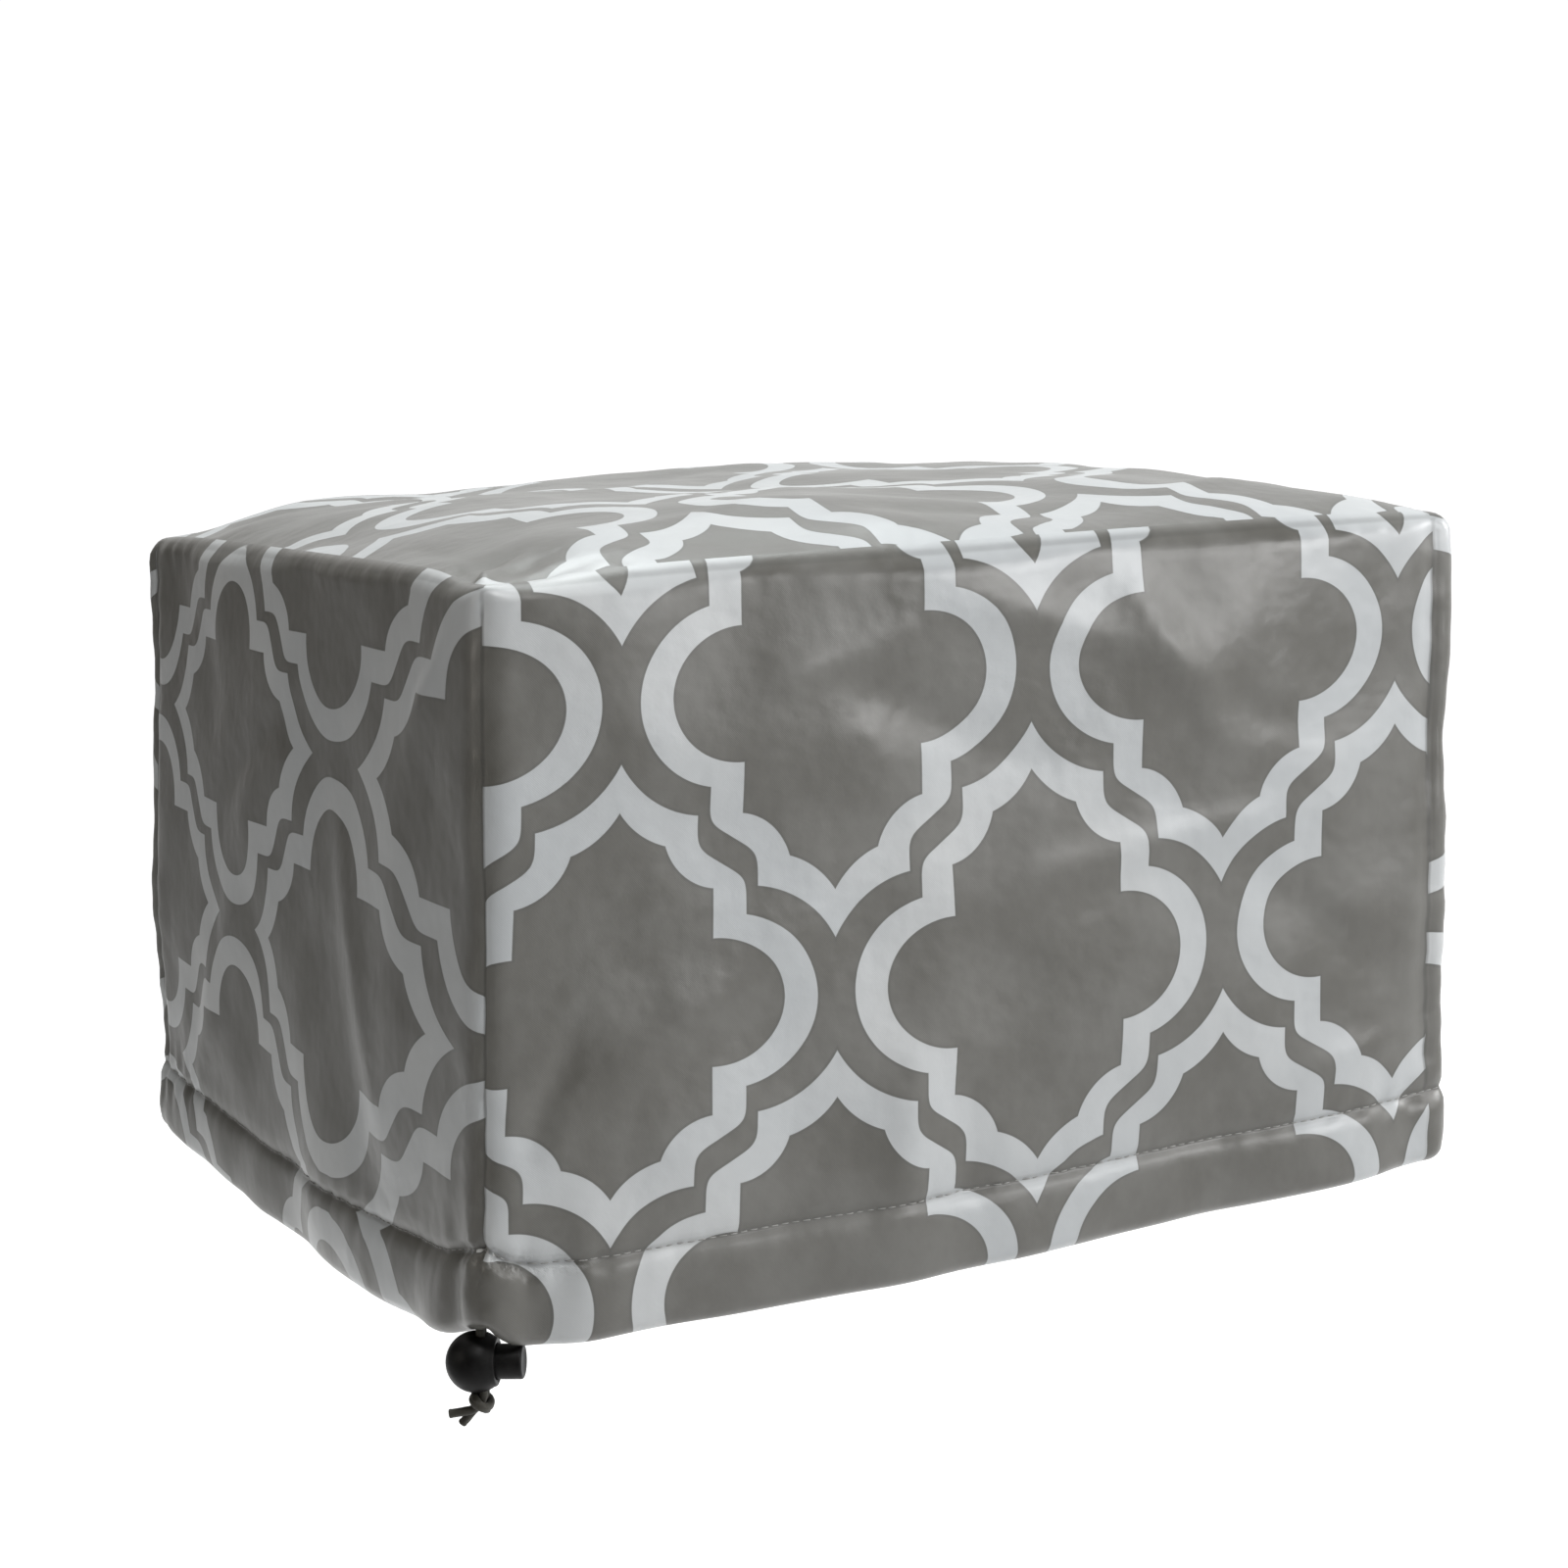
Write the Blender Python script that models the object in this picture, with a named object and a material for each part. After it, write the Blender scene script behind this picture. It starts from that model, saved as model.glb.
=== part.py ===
"""A box-shaped fabric cover with a drawcord hem and a push-button cord lock.

The cover hangs as if it were fitted over a box: the top and the four walls are one cloth, seamed
at the upright corners and hemmed round the foot. The origin is under the middle of the top.
"""

import math

import bmesh
import bpy
import numpy as np
from mathutils import Matrix, Vector

# Cover: real sizes in metres
SIDE = 0.335
HEIGHT = 0.210
SHEET = 0.0013
HEM_THICKNESS = 0.0030
HEM_HEIGHT = 0.024
CORNER_RADIUS = 0.006
EDGE_RADIUS = 0.005
HEM_CURL_RADIUS = 0.004
HEM_CURL_ANGLE = math.radians(75)
CASING_SWELL = 0.0012
STITCH_GROOVE = 0.0009
CROWN = 0.0150
CROWN_POWER = 6
SEAM_GROOVE = 0.0022
SEAM_GROOVE_WIDTH = 0.0050
STITCH_GROOVE_WIDTH = 0.003
# Half of one wall's share of the rounded perimeter
HALF_PERIMETER_SIDE = SIDE / 2 - CORNER_RADIUS + CORNER_RADIUS * math.pi / 4

# Grid of the cover's solid
COLUMNS_PER_SIDE = 20
CORNER_CROWDING = 0.78
EDGE_STEPS = 3
CURL_STEPS = 3
WALL_DROPS = (0.016, 0.034, 0.056, 0.080, 0.106, 0.132, 0.156, 0.174)

# How far each corner stands from a true box, in metres, counterclockwise from the near one:
# top corner, foot corner, and how far round the perimeter its seam lies
NEAR, RIGHT, BACK, LEFT = range(4)
CORNER_TOP = {
    NEAR: (0.0050, -0.0016, 0.0017),
    RIGHT: (0.0012, -0.0018, 0.0032),
    BACK: (0.0010, 0.0020, 0.0066),
    LEFT: (0.0035, 0.0000, 0.0021),
}
CORNER_FOOT = {
    NEAR: (-0.0046, 0.0006, -0.0042),
    RIGHT: (0.0000, 0.0038, 0.0012),
    BACK: (-0.0010, -0.0020, -0.0010),
    LEFT: (-0.0062, -0.0012, -0.0074),
}
SEAM_SHIFT = {NEAR: 0.0, RIGHT: -0.0065, BACK: 0.0, LEFT: 0.0070}
CORNER_SIGNS = {NEAR: (-1, -1), RIGHT: (1, -1), BACK: (1, 1), LEFT: (-1, 1)}

# Broad swells and dents of the walls: wall, place along it from its middle, drop below the top
# edge, half width, half height, and how far out (+) or in (-) the cloth stands
FRONT_WALL, RIGHT_WALL, BACK_WALL, LEFT_WALL = range(4)
WALL_FOLDS = (
    (FRONT_WALL, -0.085, 0.045, 0.045, 0.030, 0.0022),
    (FRONT_WALL, 0.020, 0.070, 0.050, 0.040, -0.0020),
    (FRONT_WALL, 0.070, 0.040, 0.028, 0.030, 0.0024),
    (FRONT_WALL, -0.030, 0.185, 0.020, 0.045, 0.0026),
    (FRONT_WALL, -0.110, 0.150, 0.035, 0.045, 0.0018),
    (FRONT_WALL, 0.100, 0.150, 0.045, 0.040, 0.0020),
    (RIGHT_WALL, -0.160, 0.030, 0.020, 0.040, 0.0024),
    (RIGHT_WALL, -0.040, 0.110, 0.060, 0.060, 0.0030),
    (RIGHT_WALL, 0.070, 0.080, 0.040, 0.050, -0.0022),
    (RIGHT_WALL, 0.090, 0.180, 0.030, 0.040, 0.0022),
    (BACK_WALL, 0.162, 0.012, 0.018, 0.022, 0.0034),
    (BACK_WALL, 0.030, 0.100, 0.060, 0.055, 0.0030),
    (BACK_WALL, -0.080, 0.130, 0.040, 0.050, -0.0024),
    (BACK_WALL, -0.020, 0.190, 0.025, 0.040, 0.0022),
    (LEFT_WALL, -0.090, 0.110, 0.060, 0.080, 0.0026),
    (LEFT_WALL, -0.160, 0.125, 0.030, 0.045, 0.0022),
    (LEFT_WALL, 0.060, 0.070, 0.040, 0.040, -0.0020),
    (LEFT_WALL, 0.030, 0.170, 0.030, 0.040, 0.0022),
)
# Soft swells and dents of the top: x, y, half width, half depth, up (+) or down (-)
TOP_FOLDS = (
    (-0.148, -0.148, 0.018, 0.016, -0.0030),
    (-0.070, -0.120, 0.050, 0.022, 0.0016),
    (0.050, -0.100, 0.060, 0.030, -0.0018),
    (-0.060, 0.050, 0.060, 0.045, -0.0016),
    (0.120, -0.020, 0.040, 0.060, 0.0020),
)
# How much lower each wall's hem hangs in its middle, from the front wall round
HEM_SAG = (0.0044, 0.0050, 0.0050, 0.0080)
# Gathers of the foot, drawn in by the cord: wall, place along it, half width, out or in
HEM_GATHERS = (
    (FRONT_WALL, -0.150, 0.007, -0.0026),
    (FRONT_WALL, -0.134, 0.009, 0.0016),
    (FRONT_WALL, -0.105, 0.014, -0.0012),
    (FRONT_WALL, -0.020, 0.016, -0.0014),
    (FRONT_WALL, 0.075, 0.018, -0.0012),
    (FRONT_WALL, 0.150, 0.010, -0.0022),
    (RIGHT_WALL, -0.145, 0.010, -0.0020),
    (RIGHT_WALL, -0.050, 0.018, -0.0014),
    (RIGHT_WALL, 0.060, 0.018, -0.0014),
    (BACK_WALL, -0.110, 0.018, -0.0014),
    (BACK_WALL, 0.020, 0.018, -0.0014),
    (BACK_WALL, 0.120, 0.016, -0.0014),
    (LEFT_WALL, -0.110, 0.018, -0.0014),
    (LEFT_WALL, 0.000, 0.018, -0.0014),
    (LEFT_WALL, 0.110, 0.012, -0.0012),
    (LEFT_WALL, 0.148, 0.007, -0.0024),
)
GATHER_REACH = 0.035
# Lift of the hem at the near corner, and how far it reaches along each wall beside it
CORNER_LIFT = 0.0072
LIFT_REACH = {FRONT_WALL: 0.013, LEFT_WALL: 0.024}

# Cord lock: a ball with one flat side, and a button that slides into that side
CORD_DIAMETER = 0.0026
CORD_GAP = 0.0003
CORD_HOLE_RADIUS = CORD_DIAMETER / 2 + CORD_GAP + 0.0001
# Half the distance between the two strands' centres
STRAND_OFFSET = (CORD_DIAMETER + CORD_GAP) / 2
LOCK_PLACE = (-0.1685, -0.1545)
LOCK_TURN = math.radians(-32)
BALL_RADIUS = 0.0088
BALL_FLAT_AT = 0.0062
BALL_FLAT_RADIUS = 0.0070
BUTTON_RADIUS = 0.0050
BUTTON_PROUD = 0.0075
BUTTON_INNER_END = -0.0032
BUTTON_EDGE = 0.0009
BORE_RADIUS = 0.0053
BORE_INNER_END = -0.0064
BUTTON_TRAVEL = 0.0026
CORD_HOLE_AT = 0.0018
LOCK_BELOW_HEM = 0.0004

# Bunched cloth of the hem where the cord comes out
OUTLET_HALF_SIZE = (0.0052, 0.0062, 0.0085)
OUTLET_ABOVE_FOOT = 0.0022
OUTLET_INWARD = 0.0012
OUTLET_HOLE_DEPTH = 0.0075

# Cord: bend below the lock, knot and free tails
BEND_RADIUS = 0.0052
KNOT_START = 0.0006
KNOT_LENGTH = 0.0048
KNOT_HALF_WIDTH = 0.0036
KNOT_HALF_DEPTH = 0.0051
KNOT_TURN = math.radians(54)
KNOT_FLARE = 0.35
TAILS = (
    {"side": -1, "turn": math.radians(82), "straight": 0.0056, "spread": 0.0006},
    {"side": 1, "turn": math.radians(42), "straight": 0.0090, "spread": 0.0004},
)
CORD_STEP = 0.0016

GREY_CLOTH = (0.20, 0.20, 0.19)
BLACK_PLASTIC = (0.012, 0.012, 0.013)
BLACK_CORD = (0.018, 0.018, 0.015)


def clear_scene():
    for thing in list(bpy.data.objects):
        bpy.data.objects.remove(thing, do_unlink=True)


def make_material(name, colour, roughness):
    material = bpy.data.materials.new(name)
    material.use_nodes = True
    shader = material.node_tree.nodes["Principled BSDF"]
    shader.inputs["Base Color"].default_value = (*colour, 1.0)
    shader.inputs["Roughness"].default_value = roughness
    return material


def add_object(name, data, material=None):
    thing = bpy.data.objects.new(name, data)
    bpy.context.scene.collection.objects.link(thing)
    if material:
        data.materials.append(material)
    return thing


def add_mesh(name, points, faces, material=None):
    mesh = bpy.data.meshes.new(name)
    mesh.from_pydata([tuple(p) for p in points], [], faces)
    mesh.validate()
    mesh.shade_smooth()
    return add_object(name, mesh, material)


def make_cutter(thing):
    thing.hide_render = True
    thing.display_type = "WIRE"
    return thing


def add_boolean(target, other, operation):
    modifier = target.modifiers.new(operation.lower() + "_" + other.name, "BOOLEAN")
    modifier.object = other
    modifier.operation = operation
    modifier.solver = "EXACT"


def bump(distance):
    return np.exp(-np.square(distance))


def outline(wall, fraction):
    """Plan point, outward normal and place along the wall, on a square with rounded corners."""
    straight = SIDE / 2 - CORNER_RADIUS
    place = (2 * fraction - 1) * HALF_PERIMETER_SIDE
    sign = np.sign(place)
    angle = sign * np.maximum(np.abs(place) - straight, 0) / CORNER_RADIUS
    reach_along = sign * np.minimum(np.abs(place), straight) + CORNER_RADIUS * np.sin(angle)
    reach_out = straight + CORNER_RADIUS * np.cos(angle)
    turn = wall * math.pi / 2
    along = np.array((math.cos(turn), math.sin(turn)))
    out = np.array((math.sin(turn), -math.cos(turn)))
    point = np.outer(reach_along, along) + np.outer(reach_out, out)
    normal = np.outer(np.sin(angle), along) + np.outer(np.cos(angle), out)
    return point, normal, place


def corner_offsets(x, y, drop):
    """How far the uneven corners carry a point, from its place on the true box."""
    u = np.clip(x / SIDE, -0.5, 0.5)
    v = np.clip(y / SIDE, -0.5, 0.5)
    share = np.clip(drop / HEIGHT, 0, 1)[:, None]
    moved = np.zeros((len(x), 3))
    for corner, (sign_x, sign_y) in CORNER_SIGNS.items():
        weight = ((0.5 + sign_x * u) * (0.5 + sign_y * v))[:, None]
        top = np.array(CORNER_TOP[corner])
        foot = np.array(CORNER_FOOT[corner])
        moved += weight * (top * (1 - share) + foot * share)
    return moved


def crown_height(x, y):
    u = np.clip(np.abs(2 * x / SIDE), 0, 1)
    v = np.clip(np.abs(2 * y / SIDE), 0, 1)
    height = CROWN * (1 - u**CROWN_POWER) * (1 - v**CROWN_POWER)
    for fold_x, fold_y, width, depth, rise in TOP_FOLDS:
        height = height + rise * bump(np.hypot((x - fold_x) / width, (y - fold_y) / depth))
    return height


def seam_distance(wall, place):
    """Distance round the perimeter from the nearer of the two corner seams."""
    from_start = place + HALF_PERIMETER_SIDE - SEAM_SHIFT[wall]
    from_end = place - HALF_PERIMETER_SIDE - SEAM_SHIFT[(wall + 1) % 4]
    return np.where(np.abs(from_start) < np.abs(from_end), from_start, from_end)


def wall_relief(wall, place, drop):
    """How far the cloth stands out from the flat wall."""
    relief = -SEAM_GROOVE * bump(seam_distance(wall, place) / SEAM_GROOVE_WIDTH)
    for fold_wall, along, fold_drop, width, height, rise in WALL_FOLDS:
        turns = (fold_wall - wall + 2) % 4 - 2
        if abs(turns) < 2:
            offset = along + turns * 2 * HALF_PERIMETER_SIDE
            near = np.hypot((place - offset) / width, (drop - fold_drop) / height)
            relief = relief + rise * bump(near)
    foot = bump(np.minimum(drop - HEIGHT, 0) / GATHER_REACH)
    for gather_wall, along, width, rise in HEM_GATHERS:
        if gather_wall == wall:
            relief = relief + rise * foot * bump((place - along) / width)
    stitch = HEIGHT - HEM_HEIGHT
    casing = np.clip((drop - stitch) / HEM_HEIGHT, 0, 1)
    relief = relief + CASING_SWELL * np.sin(math.pi * casing)
    return relief - STITCH_GROOVE * bump((drop - stitch) / STITCH_GROOVE_WIDTH)


def foot_sag(wall, place):
    """The hem hangs lower mid-wall and is drawn up at the corner where the cord comes out."""
    share = np.abs(place) / (SIDE / 2)
    sag = HEM_SAG[wall] * (1 - np.clip(share, 0, 1) ** 2)
    near_end = {FRONT_WALL: -HALF_PERIMETER_SIDE, LEFT_WALL: HALF_PERIMETER_SIDE}
    if wall in near_end:
        sag = sag - CORNER_LIFT * bump((place - near_end[wall]) / LIFT_REACH[wall])
    return sag


def wall_ring(wall, fraction, inset, drop):
    """Outer face at one level, before the corners move: inset from the wall, drop from its top."""
    plan, normal, place = outline(wall, fraction)
    drops = np.full(len(place), drop)
    relief = wall_relief(wall, place, drops) * min(drop / EDGE_RADIUS, 1.0)
    plan = plan + normal * (relief - inset)[:, None]
    sag = foot_sag(wall, place) * np.clip(drops / HEIGHT, 0, 1) ** 2
    z = crown_height(plan[:, 0], plan[:, 1]) * max(1 - drop / EDGE_RADIUS, 0) - drops - sag
    return np.column_stack((plan, z))


def settle(points, drop):
    """Moves points of one level with the uneven corners, down from the mount at the origin."""
    drops = np.full(len(points), drop)
    moved = corner_offsets(points[:, 0], points[:, 1], drops)
    return points + moved - np.array((0.0, 0.0, mount_height()))


def ring_levels():
    """Inset and drop of each ring, from the rim of the top down to the turned-in foot."""
    levels = []
    for step in range(EDGE_STEPS + 1):
        angle = math.pi / 2 * step / EDGE_STEPS
        levels.append((EDGE_RADIUS * (1 - math.sin(angle)), EDGE_RADIUS * (1 - math.cos(angle))))
    stitch = HEIGHT - HEM_HEIGHT
    drops = WALL_DROPS + (stitch - 0.004, stitch, stitch + 0.004)
    drops += (HEIGHT - 0.011, HEIGHT - HEM_CURL_RADIUS)
    levels += [(0.0, drop) for drop in drops]
    for step in range(1, CURL_STEPS + 1):
        angle = HEM_CURL_ANGLE * step / CURL_STEPS
        inset = HEM_CURL_RADIUS * (1 - math.cos(angle))
        levels.append((inset, HEIGHT - HEM_CURL_RADIUS * (1 - math.sin(angle))))
    return levels


def column_fractions():
    even = np.arange(COLUMNS_PER_SIDE) / COLUMNS_PER_SIDE
    return even - CORNER_CROWDING * np.sin(2 * math.pi * even) / (2 * math.pi)


def top_patch(rim):
    """Inner points of the top, spread between the four sides of its rim."""
    n = COLUMNS_PER_SIDE
    side = [rim[k * n : (k + 1) * n + 1] for k in range(3)]
    side.append(np.vstack((rim[3 * n :], rim[:1])))
    front, right, back, left = side[0], side[1], side[2][::-1], side[3][::-1]
    spread = np.append(column_fractions(), 1.0)
    points = []
    for row in range(1, n):
        v = spread[row]
        for column in range(1, n):
            u = spread[column]
            between_ends = (1 - v) * front[column] + v * back[column]
            between_sides = (1 - u) * left[row] + u * right[row]
            corners = (1 - u) * (1 - v) * front[0] + u * (1 - v) * front[-1]
            corners = corners + (1 - u) * v * back[0] + u * v * back[-1]
            points.append(between_ends + between_sides - corners)
    points = np.array(points)
    points[:, 2] = crown_height(points[:, 0], points[:, 1])
    return points


def top_faces(first_inner):
    """Quads of the top, sharing the rim's points."""
    n = COLUMNS_PER_SIDE

    def index(row, column):
        if row == 0:
            return column
        if column == n:
            return n + row
        if row == n:
            return 3 * n - column
        if column == 0:
            return (4 * n - row) % (4 * n)
        return first_inner + (row - 1) * (n - 1) + column - 1

    faces = []
    for row in range(n):
        for column in range(n):
            faces.append(
                (
                    index(row, column),
                    index(row, column + 1),
                    index(row + 1, column + 1),
                    index(row + 1, column),
                )
            )
    return faces


def cover_surface():
    """Outer face of the cover, and how much of the hem's extra thickness each point has."""
    fractions = column_fractions()
    flat_rings, rings = [], []
    for inset, drop in ring_levels():
        walls = [wall_ring(wall, fractions, inset, drop) for wall in range(4)]
        flat_rings.append(np.vstack(walls))
        rings.append(settle(flat_rings[-1], drop))
    around = len(rings[0])
    faces = []
    for level in range(len(rings) - 1):
        upper, lower = level * around, (level + 1) * around
        for step in range(around):
            after = (step + 1) % around
            faces.append((upper + after, upper + step, lower + step, lower + after))
    inner = settle(top_patch(flat_rings[0]), 0.0)
    faces += top_faces(around * len(rings))
    hem = [1.0 if drop > HEIGHT - HEM_HEIGHT else 0.0 for _, drop in ring_levels()]
    weights = np.concatenate((np.repeat(hem, around), np.zeros(len(inner))))
    return np.vstack((*rings, inner)), faces, weights


def mount_height():
    """Level of the cloth's underside at the middle of the top, above the true box's top."""
    middle = np.zeros(1)
    rise = crown_height(middle, middle) + corner_offsets(middle, middle, middle)[:, 2]
    return float(rise[0]) - SHEET


def near_hem_level():
    """Height of the hem's foot over the cord lock."""
    fraction = np.array([0.5 - LOCK_PLACE[1] / (2 * HALF_PERIMETER_SIDE)])
    inset, drop = ring_levels()[-1]
    ring = settle(wall_ring(LEFT_WALL, fraction, inset, drop), drop)
    return float(ring[0, 2])


def lock_centre():
    return Vector((*LOCK_PLACE, near_hem_level() - LOCK_BELOW_HEM - BALL_RADIUS))


def lock_frame():
    """From the lock's own axes, X along the button, to the cover's."""
    return Matrix.Translation(lock_centre()) @ Matrix.Rotation(LOCK_TURN, 4, "Z")


def build_cover(material):
    points, faces, weights = cover_surface()
    cover = add_mesh("cover_cloth", points, faces, material)
    hem = cover.vertex_groups.new(name="hem")
    for index in np.flatnonzero(weights):
        hem.add([int(index)], float(weights[index]), "REPLACE")
    solidify = cover.modifiers.new("thickness", "SOLIDIFY")
    solidify.thickness = HEM_THICKNESS
    solidify.offset = -1
    solidify.vertex_group = "hem"
    solidify.thickness_vertex_group = SHEET / HEM_THICKNESS
    solidify.use_even_offset = False
    add_outlet(cover)
    return cover


def add_outlet(cover):
    """The bunched casing inside the near corner, with a hole for each strand of the cord."""
    foot = near_hem_level()
    mesh = bpy.data.meshes.new("outlet")
    shape = bmesh.new()
    bmesh.ops.create_uvsphere(shape, u_segments=14, v_segments=8, radius=1.0)
    scale = Matrix.Diagonal((*OUTLET_HALF_SIZE, 1.0))
    middle = lock_frame() @ Vector((CORD_HOLE_AT, 0.0, 0.0))
    base = foot + OUTLET_ABOVE_FOOT
    place = Vector((middle.x + OUTLET_INWARD, middle.y, base + OUTLET_HALF_SIZE[2] / 2))
    bmesh.ops.transform(
        shape,
        matrix=Matrix.Translation(place) @ Matrix.Rotation(LOCK_TURN, 4, "Z") @ scale,
        verts=shape.verts,
    )
    bmesh.ops.bisect_plane(
        shape,
        geom=shape.verts[:] + shape.edges[:] + shape.faces[:],
        plane_co=(0, 0, base),
        plane_no=(0, 0, -1),
        clear_outer=True,
    )
    bmesh.ops.holes_fill(shape, edges=[e for e in shape.edges if e.is_boundary])
    bmesh.ops.recalc_face_normals(shape, faces=shape.faces)
    shape.to_mesh(mesh)
    shape.free()
    mesh.shade_smooth()
    lump = make_cutter(add_object("outlet_lump", mesh))
    add_boolean(cover, lump, "UNION")
    for tail in TAILS:
        top = strand_start(tail)
        length = 2 * OUTLET_HOLE_DEPTH
        bpy.ops.mesh.primitive_cylinder_add(
            vertices=12,
            radius=CORD_HOLE_RADIUS,
            depth=length,
            location=(top.x, top.y, top.z + CORD_GAP - length / 2),
        )
        hole = make_cutter(bpy.context.object)
        hole.name = "outlet_hole"
        add_boolean(cover, hole, "DIFFERENCE")


def revolve(name, profile, segments, material=None):
    """A closed solid turned about its X axis from (x, radius) pairs, with both ends on it."""
    shape = bmesh.new()
    chain = [shape.verts.new((x, 0.0, radius)) for x, radius in profile]
    edges = [shape.edges.new(pair) for pair in zip(chain, chain[1:])]
    bmesh.ops.spin(
        shape,
        geom=chain + edges,
        axis=(1, 0, 0),
        cent=(0, 0, 0),
        angle=2 * math.pi,
        steps=segments,
        use_merge=True,
    )
    bmesh.ops.remove_doubles(shape, verts=shape.verts, dist=1e-6)
    bmesh.ops.recalc_face_normals(shape, faces=shape.faces)
    mesh = bpy.data.meshes.new(name)
    shape.to_mesh(mesh)
    shape.free()
    mesh.shade_smooth()
    mesh.set_sharp_from_angle(angle=math.radians(35))
    return add_object(name, mesh, material)


def slot_cutter(name, low, high, half_width, half_height):
    """An upright slot through the lock, from low to high along the button and rounded aside."""
    middle = (low + high) / 2
    corner = 0.0012
    points = []
    for sign_x, sign_y, first in ((1, 1, 0), (-1, 1, 90), (-1, -1, 180), (1, -1, 270)):
        for turn in (0, 45, 90):
            angle = math.radians(first + turn)
            x = middle + sign_x * ((high - low) / 2 - corner) + corner * math.cos(angle)
            y = sign_y * (half_width - corner) + corner * math.sin(angle)
            points.append((x, y))
    count = len(points)
    rings = [(x, y, z) for z in (-half_height, half_height) for x, y in points]
    faces = [tuple(range(count))[::-1], tuple(range(count, 2 * count))]
    for step in range(count):
        after = (step + 1) % count
        faces.append((step, after, count + after, count + step))
    return make_cutter(add_mesh(name, rings, faces))


def build_lock_body(material):
    """The ball, cut flat on the button's side."""
    profile = [(-BALL_RADIUS, 0.0)]
    for step in range(1, 7):
        angle = math.pi / 2 * step / 6
        profile.append((-BALL_RADIUS * math.cos(angle), BALL_RADIUS * math.sin(angle)))
    profile += [
        (0.0030, BALL_RADIUS * 0.965),
        (0.0050, BALL_RADIUS * 0.890),
        (BALL_FLAT_AT - 0.0004, BALL_FLAT_RADIUS + 0.0004),
        (BALL_FLAT_AT, BALL_FLAT_RADIUS),
        (BALL_FLAT_AT, 0.0),
    ]
    body = revolve("cord_lock_body", profile, 28, material)
    body.matrix_world = lock_frame()
    bore_profile = [
        (BORE_INNER_END, 0.0),
        (BORE_INNER_END, BORE_RADIUS),
        (BALL_FLAT_AT + 0.002, BORE_RADIUS),
        (BALL_FLAT_AT + 0.002, 0.0),
    ]
    bore = make_cutter(revolve("lock_bore", bore_profile, 24))
    bore.matrix_world = lock_frame()
    half_gap = CORD_DIAMETER / 2 + CORD_GAP
    slot = slot_cutter(
        "lock_cord_hole",
        CORD_HOLE_AT - half_gap,
        CORD_HOLE_AT + half_gap,
        STRAND_OFFSET + half_gap,
        BALL_RADIUS + 0.002,
    )
    slot.matrix_world = lock_frame()
    add_boolean(body, bore, "DIFFERENCE")
    add_boolean(body, slot, "DIFFERENCE")
    return body


def build_lock_button(material):
    """The push button, with a slot that lets it slide past the cord."""
    end = BALL_FLAT_AT + BUTTON_PROUD
    profile = [
        (BUTTON_INNER_END, 0.0),
        (BUTTON_INNER_END, BUTTON_RADIUS - 0.0004),
        (BUTTON_INNER_END + 0.0004, BUTTON_RADIUS),
        (BALL_FLAT_AT, BUTTON_RADIUS),
        (end - BUTTON_EDGE, BUTTON_RADIUS),
        (end - BUTTON_EDGE * 0.3, BUTTON_RADIUS - BUTTON_EDGE * 0.3),
        (end, BUTTON_RADIUS - BUTTON_EDGE),
        (end, 0.0),
    ]
    button = revolve("cord_lock_button", profile, 24, material)
    button.matrix_world = lock_frame()
    half_gap = CORD_DIAMETER / 2 + CORD_GAP
    slot = slot_cutter(
        "button_cord_hole",
        CORD_HOLE_AT - half_gap,
        CORD_HOLE_AT + half_gap + BUTTON_TRAVEL,
        STRAND_OFFSET + half_gap,
        BUTTON_RADIUS + 0.002,
    )
    slot.matrix_world = lock_frame()
    add_boolean(button, slot, "DIFFERENCE")
    return button


def strand_start(tail):
    """Upper end of a strand, inside the hem, in the cover's axes."""
    foot = near_hem_level()
    place = lock_frame() @ Vector((CORD_HOLE_AT, tail["side"] * STRAND_OFFSET, 0.0))
    return Vector((place.x, place.y, foot + OUTLET_HOLE_DEPTH - CORD_GAP))


def bend_point(length, turn):
    """Place and heading after a length of cord below the lock: it turns, then runs straight."""
    angle = min(length / BEND_RADIUS, turn)
    x = CORD_HOLE_AT - BEND_RADIUS * (1 - math.cos(angle))
    z = -BALL_RADIUS - BEND_RADIUS * math.sin(angle)
    beyond = max(length - BEND_RADIUS * turn, 0.0)
    x -= beyond * math.sin(angle)
    z -= beyond * math.cos(angle)
    return x, z, angle


def tail_route(tail):
    """One strand's centre line: down through the lock, round the bend and out to its end."""
    start = lock_frame().inverted() @ strand_start(tail)
    side = tail["side"] * STRAND_OFFSET
    fall = start.z + BALL_RADIUS
    upright = 7
    route = [Vector((CORD_HOLE_AT, side, start.z - fall * k / upright)) for k in range(upright)]
    length = BEND_RADIUS * tail["turn"] + tail["straight"]
    steps = math.ceil(length / CORD_STEP)
    knot_end = KNOT_START + KNOT_LENGTH
    for k in range(steps + 1):
        travelled = k * CORD_STEP if k < steps else length
        x, z, _ = bend_point(travelled, tail["turn"])
        parted = max(travelled - knot_end, 0.0) / max(length - knot_end, 1e-6)
        route.append(Vector((x, side + tail["side"] * tail["spread"] * parted, z)))
    return [lock_frame() @ point for point in route]


def build_strand(name, tail, material):
    curve = bpy.data.curves.new(name, "CURVE")
    curve.dimensions = "3D"
    curve.bevel_depth = CORD_DIAMETER / 2
    curve.bevel_resolution = 2
    curve.use_fill_caps = True
    route = tail_route(tail)
    spline = curve.splines.new("POLY")
    spline.points.add(len(route) - 1)
    for point, place in zip(spline.points, route):
        point.co = (*place, 1.0)
    return add_object(name, curve, material)


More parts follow.
